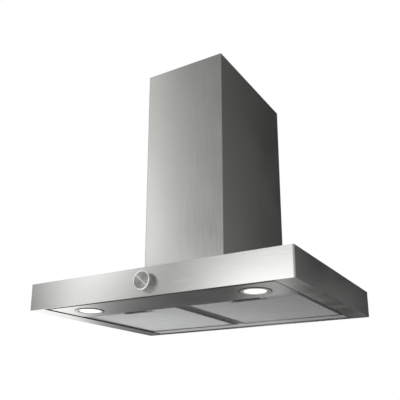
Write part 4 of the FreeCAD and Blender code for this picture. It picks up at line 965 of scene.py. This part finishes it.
@dataclass
class Screws:
    """Flanged hexagon screws in the places of the CAD's four groups."""

    head: float = 6.0 * MM
    flange: float = 4.2 * MM
    rise: float = 2.2 * MM
    shank: float = 2.0 * MM
    seed: int = 7
    steel: SoftMetal = SoftMetal("zinc_plated_screws", "#C0C1C0", "#A6A7A7", 0.28, grit=0.6 * MM)

    def build(self) -> None:
        """Make each group."""
        steel = self.steel.material()
        for node, axis in (("case_screws", "Z"), ("collar_screws", "Z"), ("chimney_screws", "-Z"),
                           ("carrier_screws", "X")):
            self.group(node, axis, steel)

    def group(self, node: str, axis: str, material: Material) -> None:
        """Instance one screw on the seats of a group.

        Args:
            node: the CAD node of the group.
            axis: the direction that the heads face.
            material: the finish.
        """
        outward = along(axis) @ Vector((0, 0, 1))
        seats, long = [], 0.0
        for low, high in islands(node):
            centre = (low + high) / 2
            span = Vector([abs(c) for c in outward]).dot(high - low)
            long = span - self.rise
            seats.append(centre + outward * (span / 2 - self.rise))
        points = bpy.data.meshes.new(node + "_seats")
        points.from_pydata([tuple(seat) for seat in seats], [], [])
        name = node.replace("_screws", "_screw_set")
        growth = Growth(name)
        sides = growth.node("GeometryNodeMeshCylinder", {
            "Vertices": 6, "Radius": growth.size("Head corner radius", self.head / 2 / math.cos(math.pi / 6)),
            "Depth": growth.size("Head height", self.rise)})
        washer = growth.node("GeometryNodeMeshCylinder", {
            "Vertices": 20, "Radius": growth.size("Flange radius", self.flange),
            "Depth": growth.size("Flange height", self.rise * 0.3)})
        stem = growth.node("GeometryNodeMeshCylinder", {
            "Vertices": 12, "Radius": growth.size("Shank radius", self.shank),
            "Depth": growth.size("Shank length", long)})
        joined = growth.node("GeometryNodeJoinGeometry")
        for part, height in ((sides, self.rise / 2), (washer, self.rise * 0.15), (stem, -long / 2)):
            moved = growth.node("GeometryNodeTransform", {"Geometry": part.outputs[0],
                                                          "Translation": (0.0, 0.0, height)})
            growth.tree.links.new(moved.outputs[0], joined.inputs[0])
        spin = growth.node("FunctionNodeRandomValue", {
            "Seed": growth.size("Seed", self.seed, "NodeSocketInt"), 1: (0.0, 0.0, math.tau)},
            data_type="FLOAT_VECTOR")
        faced = growth.node("GeometryNodeTransform", {
            "Geometry": joined.outputs[0], "Rotation": growth.size("Facing", along(axis).to_euler(),
                                                                   "NodeSocketRotation")})
        spread = growth.node("GeometryNodeInstanceOnPoints", {"Points": growth.given.outputs[0],
                                                              "Instance": faced.outputs[0]})
        if axis in ("Z", "-Z"):
            growth.tree.links.new(spin.outputs[0], spread.inputs["Rotation"])
        piece = growth.grow(spread.outputs[0], material, Matrix.Identity(4), points)
        creases(piece)
        dress(piece, material, "hood", "screw_steel", node)


# Brightness of the cards that stand round the hood, each at its bearing in degrees clockwise from behind it
LOW_CARDS = [(-180, 1.0), (-165, 2.8), (-160, 2.7), (-156, 1.9), (-152.8, 0.85), (-150, 0.3), (-147.6, 0.15),
             (-145.3, 0.5), (-141, 1.5), (-139, 1.4), (-137, 0.8), (-134.5, 0.2), (-125, 0.2), (-80, 0.9),
             (-56, 1.6), (-49.5, 1.25), (-46, 0.4), (-43, 0.24), (-40, 0.14), (-35, 0.08), (-28, 0.08),
             (-24.5, 0.38), (-21.5, 0.5), (-19, 0.06), (-15, 0.02), (10, 0.0), (17, 0.02), (21.5, 0.17),
             (28, 0.26), (70, 0.6), (120, 0.7), (180, 1.0)]
HIGH_CARDS = [(-180, 0.6), (-166, 0.8), (-159, 0.45), (-155, 0.3), (-150.5, 0.45), (-147, 1.3), (-144, 2.3),
              (-139, 2.0), (-134, 0.8), (-120, 0.4), (-60, 0.5), (0, 0.05), (20, 0.0), (25, 0.0),
              (27.5, 0.12), (31, 0.26), (40, 0.3), (70, 0.4), (120, 0.5), (180, 0.6)]


@dataclass
class Studio:
    """Camera, floor, lamps, white surroundings and the dark cards that the steel mirrors."""

    focal: float = 52.61
    azimuth: float = 30.63
    pitch: float = 16.43
    place: tuple[float, float, float] = (0.6372, -1.3182, -0.4730)
    shift_up: float = 0.12
    floor_level: float = -2.1
    surround: float = 4.0
    card_top: float = 9.0
    card_join: tuple[float, float] = (0.58, 0.82)
    card_fade: tuple[float, float] = (1.0, 2.8)
    card_faded: float = 0.62
    fill: float = 0.55

    def build(self) -> None:
        """Set the stage."""
        scene = bpy.context.scene
        scene.view_settings.view_transform = "Standard"
        self.camera()
        self.world()
        self.floor()
        self.reflectors()
        self.lamp("key_lamp", Vector((-1.6, -2.6, 2.2)), 2.4, 95.0)
        self.lamp("back_lamp", Vector((2.2, 2.4, 1.6)), 2.4, 75.0)
        self.lamp("under_lamp", Vector((-0.2, -0.24, -0.6)), 0.3, 1.9)

    def camera(self) -> None:
        """The photograph's view."""
        data = bpy.data.cameras.new("camera")
        data.lens, data.sensor_width, data.sensor_fit = self.focal, 36.0, "HORIZONTAL"
        data.shift_y = self.shift_up
        camera = bpy.data.objects.new("camera", data)
        bpy.context.scene.collection.objects.link(camera)
        turn, tilt = math.radians(self.azimuth), math.radians(self.pitch)
        sight = Vector((-math.sin(turn) * math.cos(tilt), math.cos(turn) * math.cos(tilt), math.sin(tilt)))
        camera.location = self.place
        camera.rotation_euler = sight.to_track_quat("-Z", "Y").to_euler()
        bpy.context.scene.camera = camera

    def world(self) -> None:
        """White to the camera and to metal and glass, and a soft even fill for everything else."""
        world = bpy.data.worlds.new("white_studio")
        world.use_nodes = True
        tree = world.node_tree
        tree.nodes.clear()
        path = add_node(tree, "ShaderNodeLightPath")
        seen = add_node(tree, "ShaderNodeMath",
                        {0: path.outputs["Is Camera Ray"], 1: path.outputs["Is Glossy Ray"]},
                        operation="MAXIMUM")
        seen = add_node(tree, "ShaderNodeMath", {0: seen.outputs[0], 1: path.outputs["Is Transmission Ray"]},
                        operation="MAXIMUM")
        strength = add_node(tree, "ShaderNodeMapRange", {"Value": seen.outputs[0], "To Min": self.fill,
                                                         "To Max": 1.0})
        shade = add_node(tree, "ShaderNodeBackground",
                         {"Color": colour("#FFFFFF"), "Strength": strength.outputs[0]})
        add_node(tree, "ShaderNodeOutputWorld", {"Surface": shade.outputs[0]})
        bpy.context.scene.world = world

    def floor(self) -> None:
        """A plain pale floor far under the hood."""
        mesh = bpy.data.meshes.new("floor")
        half = 3 * self.surround
        corners = [(-half, -half), (half, -half), (half, half), (-half, half)]
        mesh.from_pydata([(x, y, self.floor_level) for x, y in corners], [], [(0, 1, 2, 3)])
        floor = shown("floor", mesh)
        material, tree = bare("pale_matt_floor")
        place = add_node(tree, "ShaderNodeTexCoord")
        cloud = add_node(tree, "ShaderNodeTexNoise", {"Vector": place.outputs["Object"], "Scale": 2.0})
        pale = add_node(tree, "ShaderNodeMix", {"Factor": cloud.outputs["Fac"], "A": colour("#F2F2F1"),
                                                "B": colour("#F6F6F5")}, data_type="RGBA")
        # What the floor throws back up at the hood is held down, so that the underside keeps its shade.
        path = add_node(tree, "ShaderNodeLightPath")
        tone = add_node(tree, "ShaderNodeMix",
                        {"Factor": path.outputs["Is Diffuse Ray"], "A": pale.outputs["Result"],
                         "B": colour("#464645")}, data_type="RGBA")
        shader = add_node(tree, "ShaderNodeBsdfPrincipled",
                          {"Base Color": tone.outputs["Result"], "Roughness": 0.9, "Specular IOR Level": 0.1})
        add_node(tree, "ShaderNodeOutputMaterial", {"Surface": shader.outputs[0]})
        mesh.materials.append(material)

    def reflectors(self) -> None:
        """A round of white and dark cards far from the hood, which only its metal mirrors."""
        steps = 96
        heights = (self.floor_level + 0.03, self.card_top)
        mesh = bpy.data.meshes.new("reflector_cards")
        turns = [math.tau * i / steps for i in range(steps)]
        points = [(self.surround * math.cos(turn), self.surround * math.sin(turn), z)
                  for z in heights for turn in turns]
        faces = [(i, i + steps, (i + 1) % steps + steps, (i + 1) % steps) for i in range(steps)]
        mesh.from_pydata(points, [], faces)
        cards = shown("reflector_cards", mesh)
        material, tree = bare("studio_cards")
        place = add_node(tree, "ShaderNodeTexCoord")
        apart = add_node(tree, "ShaderNodeSeparateXYZ", {0: place.outputs["Object"]})
        bearing = add_node(tree, "ShaderNodeMath", {0: apart.outputs[0], 1: apart.outputs[1]},
                           operation="ARCTAN2")
        share = add_node(tree, "ShaderNodeMapRange", {"Value": bearing.outputs[0], "From Min": -math.pi,
                                                      "From Max": math.pi})
        rows = []
        for stops in (LOW_CARDS, HIGH_CARDS):
            ramp = add_node(tree, "ShaderNodeValToRGB", {"Fac": share.outputs[0]})
            for _ in stops[2:]:
                ramp.color_ramp.elements.new(0.5)
            for element, (bearing_at, level) in zip(ramp.color_ramp.elements, stops):
                element.position = bearing_at / 360 + 0.5
                element.color = (level, level, level, 1.0)
            rows.append(ramp.outputs[0])
        upper = add_node(tree, "ShaderNodeMapRange", {
            "Value": apart.outputs[2], "From Min": self.card_join[0], "From Max": self.card_join[1]})
        both = add_node(tree, "ShaderNodeMix", {"Factor": upper.outputs[0], "A": rows[0], "B": rows[1]},
                        data_type="RGBA")
        dim = add_node(tree, "ShaderNodeMapRange", {
            "Value": apart.outputs[2], "From Min": self.card_fade[0], "From Max": self.card_fade[1],
            "To Min": 1.0, "To Max": self.card_faded})
        glow = add_node(tree, "ShaderNodeEmission",
                        {"Color": both.outputs["Result"], "Strength": dim.outputs[0]})
        add_node(tree, "ShaderNodeOutputMaterial", {"Surface": glow.outputs[0]})
        material.cycles.emission_sampling = "NONE"
        mesh.materials.append(material)
        cards.visible_camera = cards.visible_diffuse = cards.visible_shadow = False
        cards.visible_transmission = cards.visible_volume_scatter = False

    def lamp(self, name: str, place: Vector, size: float, power: float) -> None:
        """Hang a soft square lamp that looks at the hood and isn't mirrored in its metal.

        Args:
            name: the lamp's name.
            place: where it hangs.
            size: the length of its side.
            power: in watts.
        """
        data = bpy.data.lights.new(name, "AREA")
        data.shape, data.size, data.energy = "SQUARE", size, power
        lamp = bpy.data.objects.new(name, data)
        bpy.context.scene.collection.objects.link(lamp)
        lamp.location = place
        lamp.rotation_euler = (Vector((0, -0.2, 0)) - place).to_track_quat("-Z", "Y").to_euler()
        lamp.visible_glossy = lamp.visible_camera = False


def main() -> None:
    """Set the stage, then dress each sub-assembly."""
    logging.basicConfig(level=logging.INFO, format="%(name)s: %(message)s")
    Studio().build()
    Canopy().build()
    Chimney().dress()
    GreaseFilters().build()
    Lamps().build()
    Control().build()
    Blower().build()
    Screws().build()


if __name__ == "__main__":
    main()
